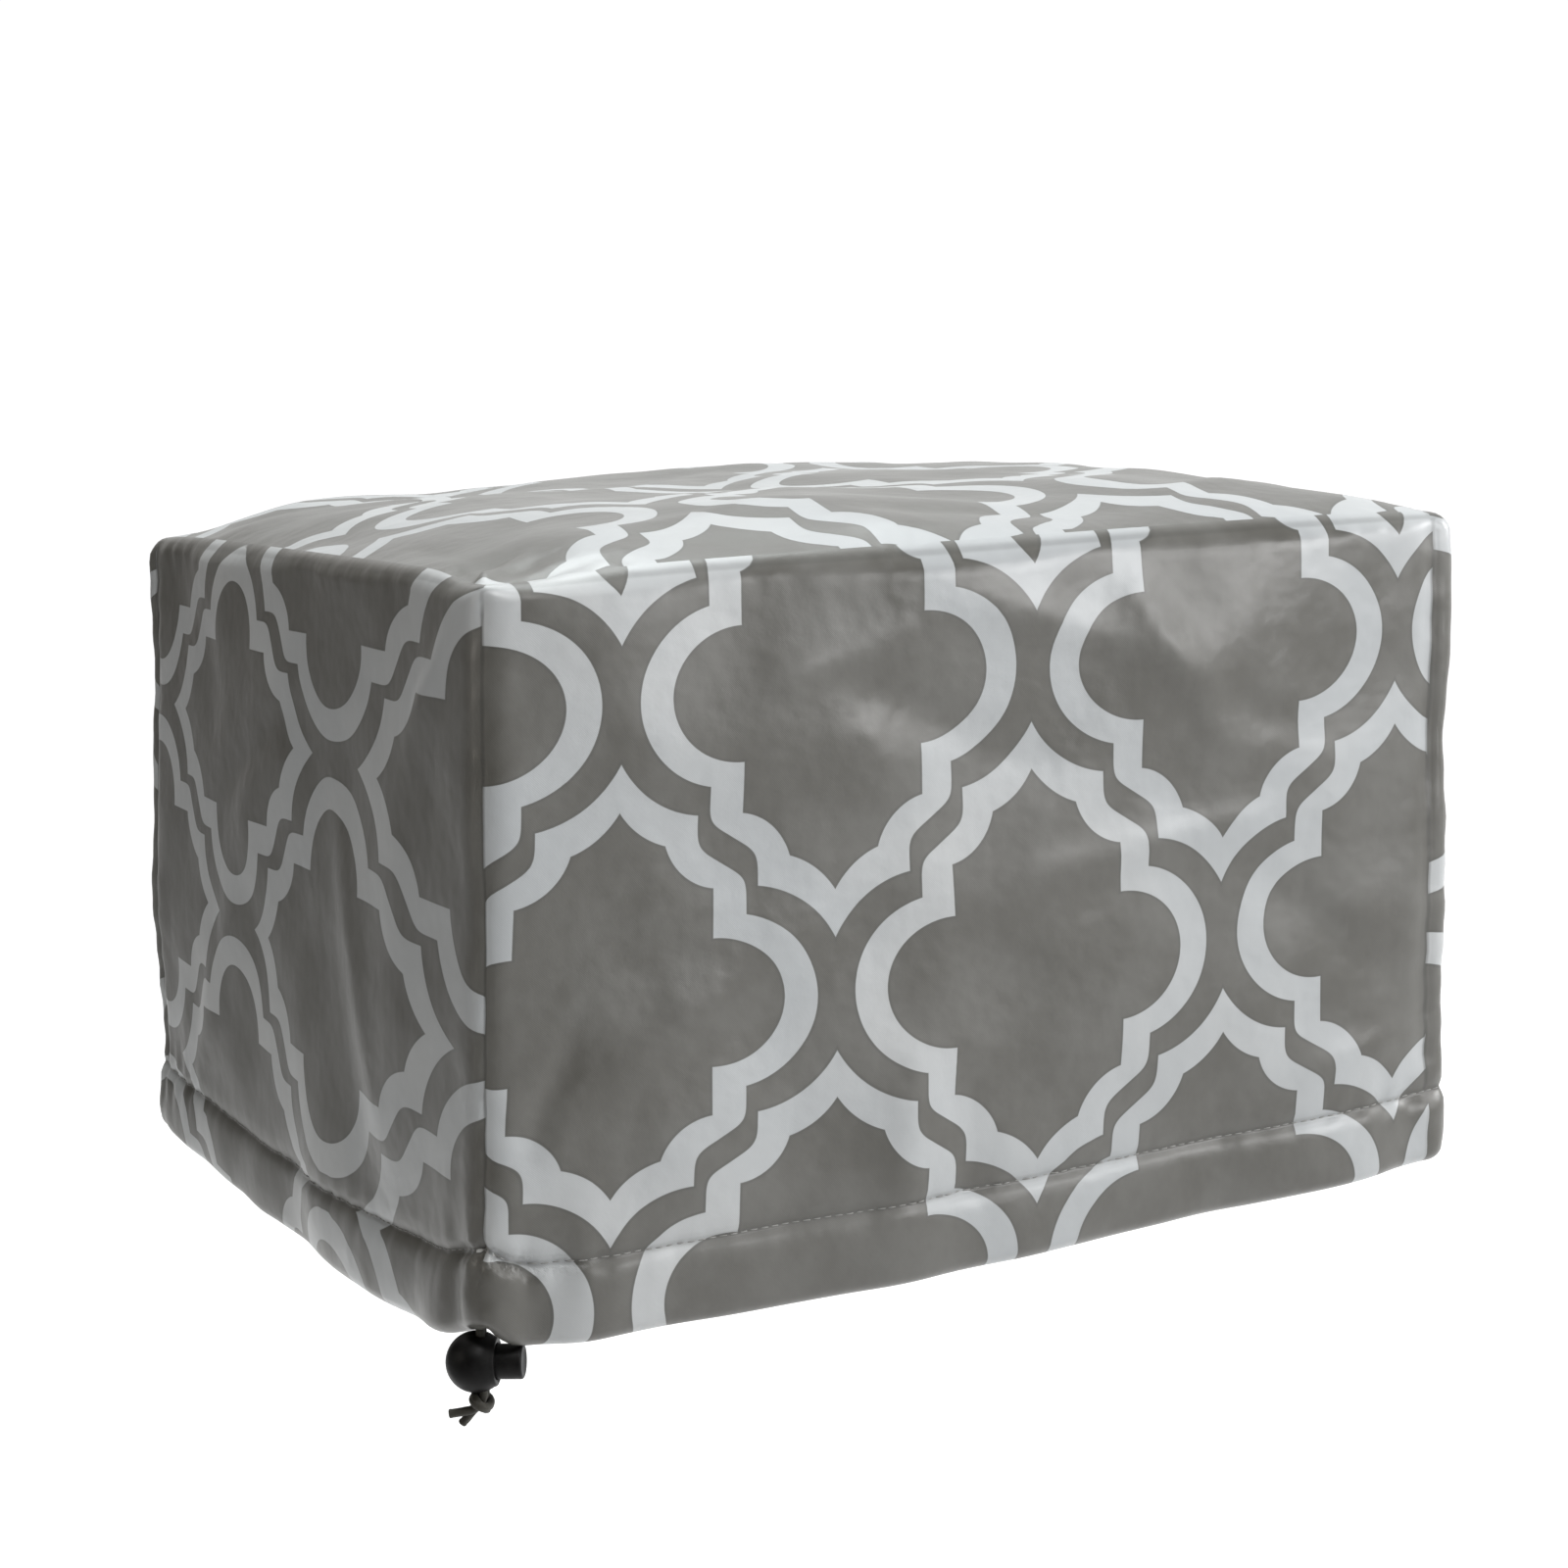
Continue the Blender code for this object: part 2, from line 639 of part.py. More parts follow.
def build_knot(material):
    """A lumpy ring tied round both strands just under the lock."""
    stations = 6
    around = 16
    half_gap = CORD_DIAMETER / 2 + CORD_GAP
    slot_reach = STRAND_OFFSET + half_gap
    outer, inner = [], []
    for station in range(stations + 1):
        share = station / stations
        x, z, angle = bend_point(KNOT_START + KNOT_LENGTH * share, KNOT_TURN)
        flare = 1 + KNOT_FLARE * share**2
        middle = Vector((x, 0.0, z))
        across = Vector((math.cos(angle), 0.0, -math.sin(angle)))
        belly = 0.80 + 0.20 * math.sin(math.pi * share)
        outer_ring, inner_ring = [], []
        for step in range(around):
            phase = 2 * math.pi * step / around
            lump = belly * (1 + 0.055 * math.sin(3 * phase + 4.5 * share))
            out_across = KNOT_HALF_WIDTH * lump * math.cos(phase)
            out_side = KNOT_HALF_DEPTH * lump * math.sin(phase)
            outer_ring.append(middle + across * out_across + Vector((0, out_side, 0)))
            in_across = half_gap * flare * max(min(1.4 * math.cos(phase), 1), -1)
            in_side = slot_reach * max(min(1.3 * math.sin(phase), 1), -1)
            inner_ring.append(middle + across * in_across + Vector((0, in_side, 0)))
        outer.append(outer_ring)
        inner.append(inner_ring)
    points = [point for ring in outer + inner for point in ring]
    points = [lock_frame() @ point for point in points]
    first_inner = (stations + 1) * around
    faces = []
    for step in range(around):
        after = (step + 1) % around
        for station in range(stations):
            here, there = station * around, (station + 1) * around
            faces.append((here + step, there + step, there + after, here + after))
            a, b = first_inner + here, first_inner + there
            faces.append((a + after, b + after, b + step, a + step))
        last = stations * around
        faces.append((step, after, first_inner + after, first_inner + step))
        faces.append(
            (
                last + after,
                last + step,
                first_inner + last + step,
                first_inner + last + after,
            )
        )
    knot = add_mesh("drawcord_knot", points, faces, material)
    shape = bmesh.new()
    shape.from_mesh(knot.data)
    bmesh.ops.recalc_face_normals(shape, faces=shape.faces)
    shape.to_mesh(knot.data)
    shape.free()
    return knot


def main():
    clear_scene()
    cloth = make_material("printed_cloth", GREY_CLOTH, 0.55)
    plastic = make_material("lock_plastic", BLACK_PLASTIC, 0.40)
    cord = make_material("cord_braid", BLACK_CORD, 0.85)
    build_cover(cloth)
    build_lock_body(plastic)
    build_lock_button(plastic)
    for number, tail in enumerate(TAILS, start=1):
        build_strand(f"drawcord_strand_{number}", tail, cord)
    build_knot(cord)


main()
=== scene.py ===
"""Looks of the box-shaped printed cover: its cloth, sewing, cord lock and drawcord."""

import math

import bmesh
import bpy
import numpy as np
from mathutils import Matrix, Vector, noise


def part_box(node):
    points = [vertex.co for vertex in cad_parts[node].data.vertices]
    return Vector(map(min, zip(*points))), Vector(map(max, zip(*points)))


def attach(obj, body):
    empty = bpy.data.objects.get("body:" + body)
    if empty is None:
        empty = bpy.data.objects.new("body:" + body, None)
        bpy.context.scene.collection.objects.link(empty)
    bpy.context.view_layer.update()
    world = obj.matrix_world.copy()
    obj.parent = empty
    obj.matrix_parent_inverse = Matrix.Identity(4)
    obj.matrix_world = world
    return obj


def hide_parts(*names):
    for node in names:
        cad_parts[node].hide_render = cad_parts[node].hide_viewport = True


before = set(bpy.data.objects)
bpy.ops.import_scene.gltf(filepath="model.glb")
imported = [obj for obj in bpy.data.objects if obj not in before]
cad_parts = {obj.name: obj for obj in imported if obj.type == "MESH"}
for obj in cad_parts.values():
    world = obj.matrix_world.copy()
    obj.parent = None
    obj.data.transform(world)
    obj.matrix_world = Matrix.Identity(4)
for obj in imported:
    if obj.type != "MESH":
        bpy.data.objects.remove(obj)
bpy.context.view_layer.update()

# Cover, in metres, as in the part's source
SIDE = 0.335
HEIGHT = 0.210
SHEET = 0.0013
HEM_HEIGHT = 0.024
STITCH = HEIGHT - HEM_HEIGHT
CORNER_RADIUS = 0.006
EDGE_RADIUS = 0.005
HEM_CURL_RADIUS = 0.004
HEM_CURL_ANGLE = math.radians(75)
CASING_SWELL = 0.0012
CROWN = 0.0150
CROWN_POWER = 6
SEAM_GROOVE = 0.0022
SEAM_GROOVE_WIDTH = 0.0050
HALF_PERIMETER_SIDE = SIDE / 2 - CORNER_RADIUS + CORNER_RADIUS * math.pi / 4
WALL_WIDTH = 2 * HALF_PERIMETER_SIDE

NEAR, RIGHT, BACK, LEFT = range(4)
CORNER_TOP = {
    NEAR: (0.0050, -0.0016, 0.0017),
    RIGHT: (0.0012, -0.0018, 0.0032),
    BACK: (0.0010, 0.0020, 0.0066),
    LEFT: (0.0035, 0.0000, 0.0021),
}
CORNER_FOOT = {
    NEAR: (-0.0046, 0.0006, -0.0042),
    RIGHT: (0.0000, 0.0038, 0.0012),
    BACK: (-0.0010, -0.0020, -0.0010),
    LEFT: (-0.0062, -0.0012, -0.0074),
}
SEAM_SHIFT = {NEAR: 0.0, RIGHT: -0.0065, BACK: 0.0, LEFT: 0.0070}
CORNER_SIGNS = {NEAR: (-1, -1), RIGHT: (1, -1), BACK: (1, 1), LEFT: (-1, 1)}

FRONT_WALL, RIGHT_WALL, BACK_WALL, LEFT_WALL = range(4)
# Broad swells and dents of the walls, as in the part's source: wall, place along it from its
# middle, drop below the top edge, half width, half height, out (+) or in (-)
WALL_FOLDS = (
    (FRONT_WALL, -0.085, 0.045, 0.045, 0.030, 0.0022),
    (FRONT_WALL, 0.020, 0.070, 0.050, 0.040, -0.0020),
    (FRONT_WALL, 0.070, 0.040, 0.028, 0.030, 0.0024),
    (FRONT_WALL, -0.030, 0.185, 0.020, 0.045, 0.0026),
    (FRONT_WALL, -0.110, 0.150, 0.035, 0.045, 0.0018),
    (FRONT_WALL, 0.100, 0.150, 0.045, 0.040, 0.0020),
    (RIGHT_WALL, -0.160, 0.030, 0.020, 0.040, 0.0024),
    (RIGHT_WALL, -0.040, 0.110, 0.060, 0.060, 0.0030),
    (RIGHT_WALL, 0.070, 0.080, 0.040, 0.050, -0.0022),
    (RIGHT_WALL, 0.090, 0.180, 0.030, 0.040, 0.0022),
    (BACK_WALL, 0.162, 0.012, 0.018, 0.022, 0.0034),
    (BACK_WALL, 0.030, 0.100, 0.060, 0.055, 0.0030),
    (BACK_WALL, -0.080, 0.130, 0.040, 0.050, -0.0024),
    (BACK_WALL, -0.020, 0.190, 0.025, 0.040, 0.0022),
    (LEFT_WALL, -0.090, 0.110, 0.060, 0.080, 0.0026),
    (LEFT_WALL, -0.160, 0.125, 0.030, 0.045, 0.0022),
    (LEFT_WALL, 0.060, 0.070, 0.040, 0.040, -0.0020),
    (LEFT_WALL, 0.030, 0.170, 0.030, 0.040, 0.0022),
)
# Swells and dents of the top, as in the part's source: x, y, half width, half depth, rise
TOP_FOLDS = (
    (-0.148, -0.148, 0.018, 0.016, -0.0030),
    (-0.070, -0.120, 0.050, 0.022, 0.0016),
    (0.050, -0.100, 0.060, 0.030, -0.0018),
    (-0.060, 0.050, 0.060, 0.045, -0.0016),
    (0.120, -0.020, 0.040, 0.060, 0.0020),
)
# How far the hem hangs down mid-wall on each wall
HEM_SAG = (0.0044, 0.0050, 0.0050, 0.0080)
# Where the cord gathers the hem: wall, place, half width, in (-)
HEM_GATHERS = (
    (FRONT_WALL, -0.150, 0.007, -0.0026),
    (FRONT_WALL, -0.134, 0.009, 0.0016),
    (FRONT_WALL, -0.105, 0.014, -0.0012),
    (FRONT_WALL, -0.020, 0.016, -0.0014),
    (FRONT_WALL, 0.075, 0.018, -0.0012),
    (FRONT_WALL, 0.150, 0.010, -0.0022),
    (RIGHT_WALL, -0.145, 0.010, -0.0020),
    (RIGHT_WALL, -0.050, 0.018, -0.0014),
    (RIGHT_WALL, 0.060, 0.018, -0.0014),
    (BACK_WALL, -0.110, 0.018, -0.0014),
    (BACK_WALL, 0.020, 0.018, -0.0014),
    (BACK_WALL, 0.120, 0.016, -0.0014),
    (LEFT_WALL, -0.110, 0.018, -0.0014),
    (LEFT_WALL, 0.000, 0.018, -0.0014),
    (LEFT_WALL, 0.110, 0.012, -0.0012),
    (LEFT_WALL, 0.148, 0.007, -0.0024),
)
GATHER_REACH = 0.035
CORNER_LIFT = 0.0072
# How far along each wall the corner's lift reaches: on the front less far than in the solid
LIFT_REACH = {FRONT_WALL: 0.0080, LEFT_WALL: 0.024}

# Fine creases that only the looks have: wall, place, drop, half length, half width, slope of the
# crease from level in degrees, out (+) or in (-)
CREASES = (
    (FRONT_WALL, 0.062, 0.038, 0.034, 0.0060, -52, 0.0018),
    (FRONT_WALL, 0.088, 0.056, 0.030, 0.0070, -12, -0.0014),
    (FRONT_WALL, 0.020, 0.024, 0.040, 0.0060, -16, 0.0014),
    (FRONT_WALL, -0.020, 0.050, 0.036, 0.0070, -24, -0.0013),
    (FRONT_WALL, -0.060, 0.028, 0.026, 0.0050, 14, 0.0011),
    (FRONT_WALL, 0.055, 0.092, 0.050, 0.0060, 6, 0.0013),
    (FRONT_WALL, -0.095, 0.118, 0.040, 0.0080, 30, 0.0014),
    (FRONT_WALL, -0.146, 0.140, 0.020, 0.0050, 64, -0.0014),
    (FRONT_WALL, -0.032, 0.165, 0.026, 0.0070, 84, 0.0018),
    (FRONT_WALL, -0.012, 0.168, 0.022, 0.0050, 96, -0.0014),
    (FRONT_WALL, 0.110, 0.120, 0.044, 0.0080, -38, -0.0014),
    (FRONT_WALL, 0.130, 0.168, 0.024, 0.0060, 12, 0.0013),
    (RIGHT_WALL, -0.100, 0.060, 0.040, 0.0070, 40, 0.0014),
    (RIGHT_WALL, 0.010, 0.050, 0.040, 0.0060, -18, -0.0013),
    (RIGHT_WALL, 0.060, 0.130, 0.050, 0.0080, -46, 0.0016),
    (RIGHT_WALL, -0.050, 0.160, 0.030, 0.0060, 78, 0.0016),
    (BACK_WALL, -0.090, 0.050, 0.040, 0.0070, 28, 0.0014),
    (BACK_WALL, 0.060, 0.070, 0.050, 0.0070, -30, -0.0014),
    (BACK_WALL, 0.010, 0.150, 0.040, 0.0070, 70, 0.0016),
    (LEFT_WALL, 0.130, 0.030, 0.026, 0.0050, 40, 0.0013),
    (LEFT_WALL, 0.060, 0.110, 0.050, 0.0090, -62, 0.0019),
    (LEFT_WALL, -0.030, 0.060, 0.040, 0.0070, 24, -0.0013),
    (LEFT_WALL, -0.090, 0.150, 0.040, 0.0080, 52, 0.0016),
)
# Fine creases of the top: x, y, half length, half width, angle from +X in degrees, rise
TOP_CREASES = (
    (-0.156, -0.150, 0.018, 0.0030, 34, 0.0026),
    (-0.150, -0.160, 0.016, 0.0026, 8, -0.0021),
    (-0.164, -0.146, 0.014, 0.0026, 72, -0.0018),
    (-0.090, -0.130, 0.040, 0.0060, 12, 0.0011),
    (0.010, -0.140, 0.050, 0.0060, -6, -0.0011),
    (0.110, -0.120, 0.040, 0.0070, 22, 0.0013),
    (-0.020, 0.030, 0.080, 0.0110, 38, 0.0013),
    (0.060, 0.090, 0.060, 0.0100, -50, 0.0013),
    (-0.110, 0.090, 0.050, 0.0090, -20, -0.0011),
)

# Grid of the cloth: columns between two seams, rows down a wall, and steps round its bends
COLUMNS = 96
CROWDING = 0.50
WALL_ROWS = 60
HEM_ROWS = 8
TURNED_ROWS = 8
STITCH_ROWS = (-0.0018, -0.0009, 0.0, 0.0009, 0.0018)
EDGE_STEPS = 5
CURL_STEPS = 5
CLOTH = 0.0005
FOLD_RADIUS = 0.0011
TURNED_INSET = 0.0012

# Puckers that the sewing leaves: height, spacing and reach, beside each line of sewing
HEM_PUCKER = (0.00050, 0.0118, 0.0085)
SEAM_PUCKER = (0.00042, 0.0145, 0.0080)
EDGE_PUCKER = (0.00040, 0.0130, 0.0065)
# Cloth bunched along the stitches beside the near corner: depth, height of its folds, spacing,
# and how far it reaches along the hem
NEAR_TUCK = (0.0012, 0.0009, 0.0086, 0.026)
# Soft unevenness all over: height and size of each layer
RIPPLES = ((0.00300, 0.066), (0.00110, 0.028))
TOP_RIM_EASE = 0.010
WEAVE_PITCH = 0.00062

STITCH_LENGTH = 0.0026
STITCH_PITCH = 0.0034
STITCH_RADIUS = 0.00022

# Print, in metres: the trellis repeats by these steps, with every other row moved half a step
REPEAT_LOBES = 0.135
REPEAT_TIPS = 0.173
# Where a cell's middle lies on the front wall, from the near seam and from the top edge
FRONT_CELL = (0.1087, 0.035)
# The print is drawn this far towards a seam, from this far away
SEAM_DRAW = (0.0032, 0.032)
# Where the cloth pulls the front's print askew: place, drop, reach along and down, moved by
PRINT_PULLS = (
    (0.030, 0.180, 0.055, 0.060, -0.0045, -0.0085),
    (0.175, 0.135, 0.080, 0.060, 0.0038, 0.0035),
)
# How the print of the side walls climbs with the drop, and with the drop and the depth
SIDE_CLIMB = (0.015, 0.35)
# Where the print's crossings lie on the side walls and the top
SIDE_CELL_DROP = 0.0618
TOP_CROSSING = (0.086, 0.060)
# Depth along the side walls against the depth of the print there
SIDE_DEPTHS = (-0.05, -0.008, 0.131, 0.224, 0.316, 0.40)
PRINT_DEPTHS = (-0.04, 0.0, 0.0865, 0.173, 0.2595, 0.34)

# One cell of the print, in centimetres from its middle, charted. Arcs: across, along
# and radius; lobes: across, how much narrower along, and size
INNER_SIDE = 2.93
INNER_STEP = (3.22, 5.15, 1.86)
INNER_TIP = (2.207, 7.17, 2.65)
INNER_LOBE = (2.93, 1.18, 2.225)
OUTER_LOBE = (3.34, 1.11, 2.82)
OUTER_SIDE = 3.95
OUTER_SLOPE = (0.532, 0.846, 5.06)
OUTER_TIP = (2.87, 8.66, 3.3)
OUTER_TIP_SIDE = 2.42
# How softly the outer edge turns, at its shoulder and where its tip begins
SHOULDER_SOFT = 0.5
TIP_SOFT = 0.55

# Cord lock and drawcord, as in the part's source
CORD_DIAMETER = 0.0026
CORD_GAP = 0.0003
STRAND_OFFSET = (CORD_DIAMETER + CORD_GAP) / 2
LOCK_PLACE = (-0.1685, -0.1545)
LOCK_TURN = math.radians(-32)
BALL_RADIUS = 0.0088
BALL_FLAT_AT = 0.0062
BALL_FLAT_RADIUS = 0.0070
BUTTON_RADIUS = 0.0050
BUTTON_PROUD = 0.0075
BUTTON_INNER_END = -0.0032
BORE_RADIUS = 0.0053
BORE_INNER_END = -0.0064
BUTTON_TRAVEL = 0.0026
SLOT_CORNER = 0.0014
LOCK_SHARP = 35
# Dark and rubbed shades of the lock's plastic
BODY_SHADES = ((0.0030, 0.0028, 0.0028, 1), (0.0070, 0.0068, 0.0066, 1))
BUTTON_SHADES = ((0.0036, 0.0034, 0.0034, 1), (0.0080, 0.0078, 0.0076, 1))
CORD_HOLE_AT = 0.0018
LOCK_BELOW_HEM = 0.0004
OUTLET_HOLE_DEPTH = 0.0075
BEND_RADIUS = 0.0052
KNOT_START = 0.0006
KNOT_LENGTH = 0.0048
KNOT_TURN = math.radians(54)
TAILS = (
    {"side": -1, "turn": math.radians(82), "straight": 0.0056, "spread": 0.0006},
    {"side": 1, "turn": math.radians(42), "straight": 0.0090, "spread": 0.0004},
)

# Camera, at the photograph's viewing angle
CAMERA_PLACE = (-0.4494, -0.9390, 0.04227)
CAMERA_TURN = (82.02, 2.08, -26.41)
CAMERA_LENS = 69.50
FLOOR_LEVEL = -0.45
FLOOR_RADIUS = 6.0
# What the soft boxes in front are aimed at, and each box: place, aim, size, watts, colour
FRONT_AIM = (0.03, -0.16, -0.06)
WHITE = (1.0, 1.0, 1.0)
SOFTBOXES = {
    "sheen_softbox": ((0.78, -1.30, 0.12), FRONT_AIM, (0.30, 0.20), 6.0, WHITE),
    "key_softbox": ((-0.20, -0.90, 0.95), FRONT_AIM, (0.35, 0.25), 9.0, WHITE),
    "side_softbox": ((1.05, -0.48, 0.25), FRONT_AIM, (0.30, 0.30), 7.0, WHITE),
    "left_softbox": ((-1.10, -0.12, 0.20), (-0.17, 0, 0), (0.30, 0.30), 1.5, (1.0, 0.94, 0.86)),
    "top_softbox": ((0.10, 0.35, 1.40), (0, 0.05, 0), (1.0, 0.7), 15.0, (0.94, 1.0, 1.0)),
}


def bump(distance):
    return np.exp(-np.square(distance))


def outline(wall, place):
    """Plan point and outward normal, on a square with rounded corners."""
    straight = SIDE / 2 - CORNER_RADIUS
    sign = np.sign(place)
    angle = sign * np.maximum(np.abs(place) - straight, 0) / CORNER_RADIUS
    reach_along = sign * np.minimum(np.abs(place), straight) + CORNER_RADIUS * np.sin(angle)
    reach_out = straight + CORNER_RADIUS * np.cos(angle)
    turn = wall * math.pi / 2
    along = np.array((math.cos(turn), math.sin(turn)))
    out = np.array((math.sin(turn), -math.cos(turn)))
    point = np.outer(reach_along, along) + np.outer(reach_out, out)
    normal = np.outer(np.sin(angle), along) + np.outer(np.cos(angle), out)
    return point, normal


def corner_offsets(x, y, drop):
    """How far the uneven corners carry a point, from its place on the true box."""
    u = np.clip(x / SIDE, -0.5, 0.5)
    v = np.clip(y / SIDE, -0.5, 0.5)
    share = np.clip(drop / HEIGHT, 0, 1)[:, None]
    moved = np.zeros((len(x), 3))
    for corner, (sign_x, sign_y) in CORNER_SIGNS.items():
        weight = ((0.5 + sign_x * u) * (0.5 + sign_y * v))[:, None]
        top = np.array(CORNER_TOP[corner])
        foot = np.array(CORNER_FOOT[corner])
        moved += weight * (top * (1 - share) + foot * share)
    return moved


def crown_height(x, y):
    u = np.clip(np.abs(2 * x / SIDE), 0, 1)
    v = np.clip(np.abs(2 * y / SIDE), 0, 1)
    height = CROWN * (1 - u**CROWN_POWER) * (1 - v**CROWN_POWER)
    for fold_x, fold_y, width, depth, rise in TOP_FOLDS:
        height = height + rise * bump(np.hypot((x - fold_x) / width, (y - fold_y) / depth))
    return height


def mount_height():
    """Level of the cloth's underside at the middle of the top, above the true box's top."""
    middle = np.zeros(1)
    rise = crown_height(middle, middle) + corner_offsets(middle, middle, middle)[:, 2]
    return float(rise[0]) - SHEET


def seam_distance(wall, place):
    """Distance round the perimeter from the nearer of the two corner seams."""
    from_start = place + HALF_PERIMETER_SIDE - SEAM_SHIFT[wall]
    from_end = place - HALF_PERIMETER_SIDE - SEAM_SHIFT[(wall + 1) % 4]
    return np.where(np.abs(from_start) < np.abs(from_end), from_start, from_end)


def crease(along, across, angle, length, width):
    """A soft ridge: 1 on its line, and falling off aside and past its ends."""
    run = along * math.cos(angle) + across * math.sin(angle)
    aside = across * math.cos(angle) - along * math.sin(angle)
    return bump(aside / width) * np.exp(-((run / length) ** 4))


def pucker(place, gap, shape, seed):
    """Uneven little folds across a line of sewing, at a place along it and a gap from it."""
    height, spacing, reach = shape
    wander = 1.9 * np.sin(place / (spacing * 3.1) + seed) + 1.1 * np.sin(place / (spacing * 1.7))
    size = 0.65 + 0.35 * np.sin(place / (spacing * 2.3) + 2 * seed)
    wave = np.sin(2 * math.pi * place / spacing + wander)
    return height * size * wave * bump(gap / reach)


def near_gap(wall, place):
    """Distance round the cover from the near corner's seam."""
    around = place + HALF_PERIMETER_SIDE + wall * WALL_WIDTH
    return np.minimum(np.abs(around), np.abs(4 * WALL_WIDTH - around))


def near_tuck(wall, place, drop):
    """The hem's cloth bunched along its stitches beside the near corner."""
    depth, height, spacing, reach = NEAR_TUCK
    gap = near_gap(wall, place)
    beside = bump(gap / reach)
    folds = np.sin(2 * math.pi * gap / spacing + 1.4 * np.sin(gap / (spacing * 0.8)) + 0.9 * wall)
    fold = height * folds * bump((drop - STITCH - 0.001) / 0.0048)
    return beside * (fold - depth * bump((drop - STITCH - 0.0006) / 0.0024))


def wall_relief(wall, place, drop):
    """How far the cloth stands out from the flat wall."""
    groove = SEAM_GROOVE * (1 - 0.7 * np.clip((drop - STITCH + 0.01) / 0.014, 0, 1))
    relief = -groove * bump(seam_distance(wall, place) / SEAM_GROOVE_WIDTH)
    for fold_wall, along, fold_drop, width, height, rise in WALL_FOLDS:
        turns = (fold_wall - wall + 2) % 4 - 2
        if abs(turns) < 2:
            offset = along + turns * WALL_WIDTH
            near = np.hypot((place - offset) / width, (drop - fold_drop) / height)
            relief = relief + rise * bump(near)
    for crease_wall, along, crease_drop, length, width, slope, rise in CREASES:
        if crease_wall == wall:
            angle = math.radians(slope)
            ridge = crease(place - along, crease_drop - drop, angle, length, width)
            relief = relief + rise * ridge
    foot = bump(np.minimum(drop - HEIGHT, 0) / GATHER_REACH)
    for gather_wall, along, width, rise in HEM_GATHERS:
        if gather_wall == wall:
            relief = relief + rise * foot * bump((place - along) / width)
    casing = np.clip((drop - STITCH) / HEM_HEIGHT, 0, 1)
    relief = relief + CASING_SWELL * np.sin(math.pi * casing) ** 0.8
    relief = relief - 0.0011 * bump((drop - STITCH) / 0.0022)
    around = place + wall * WALL_WIDTH
    relief = relief + pucker(around, drop - STITCH, HEM_PUCKER, 0.7)
    relief = relief + pucker(drop, seam_distance(wall, place), SEAM_PUCKER, 1.3 + wall)
    relief = relief + near_tuck(wall, place, drop)
    return relief + pucker(around, drop, EDGE_PUCKER, 2.1)


def foot_sag(wall, place):
    """The hem hangs lower mid-wall and is drawn up at the corner where the cord comes out."""
    share = np.abs(place) / (SIDE / 2)
    sag = HEM_SAG[wall] * (1 - np.clip(share, 0, 1) ** 2)
    near_end = {FRONT_WALL: -HALF_PERIMETER_SIDE, LEFT_WALL: HALF_PERIMETER_SIDE}
    if wall in near_end:
        sag = sag - CORNER_LIFT * bump((place - near_end[wall]) / LIFT_REACH[wall])
    return sag


def ripple(points):
    """Soft unevenness of the cloth at each point."""
    total = np.zeros(len(points))
    for height, size in RIPPLES:
        values = [noise.noise(Vector(point) / size) for point in points]
        total += height * np.array(values)
    return total


def settle(points, drop):
    """Moves points with the uneven corners, down from the mount at the origin."""
    moved = corner_offsets(points[:, 0], points[:, 1], drop)
    return points + moved - np.array((0.0, 0.0, mount_height()))


def wall_points(around, inset, drop):
    """Points of the cloth's face before the corners move, round the cover from the near corner."""
    around = np.asarray(around, float)
    drop = np.broadcast_to(np.asarray(drop, float), around.shape)
    inset = np.broadcast_to(np.asarray(inset, float), around.shape)
    walls = np.floor_divide(around, WALL_WIDTH).astype(int)
    points = np.zeros((len(around), 3))
    for wall in np.unique(walls):
        here = walls == wall
        side = int(wall) % 4
        place = around[here] - wall * WALL_WIDTH - HALF_PERIMETER_SIDE
        plan, normal = outline(side, place)
        level = drop[here]
        ease = np.clip(level / EDGE_RADIUS, 0, 1)
        uneven = ripple(np.column_stack((plan, level)))
        relief = (wall_relief(side, place, level) + uneven) * ease
        plan = plan + normal * (relief - inset[here])[:, None]
        sag = foot_sag(side, place) * np.clip(level / HEIGHT, 0, 1) ** 2
        rim = crown_height(plan[:, 0], plan[:, 1]) * (1 - ease)
        points[here] = np.column_stack((plan, rim - level - sag))
    return points


def surface(around, inset, drop):
    """Points of the cloth's face as it hangs."""
    points = wall_points(around, inset, drop)
    levels = np.broadcast_to(np.asarray(drop, float), (len(points),))
    return settle(points, levels)


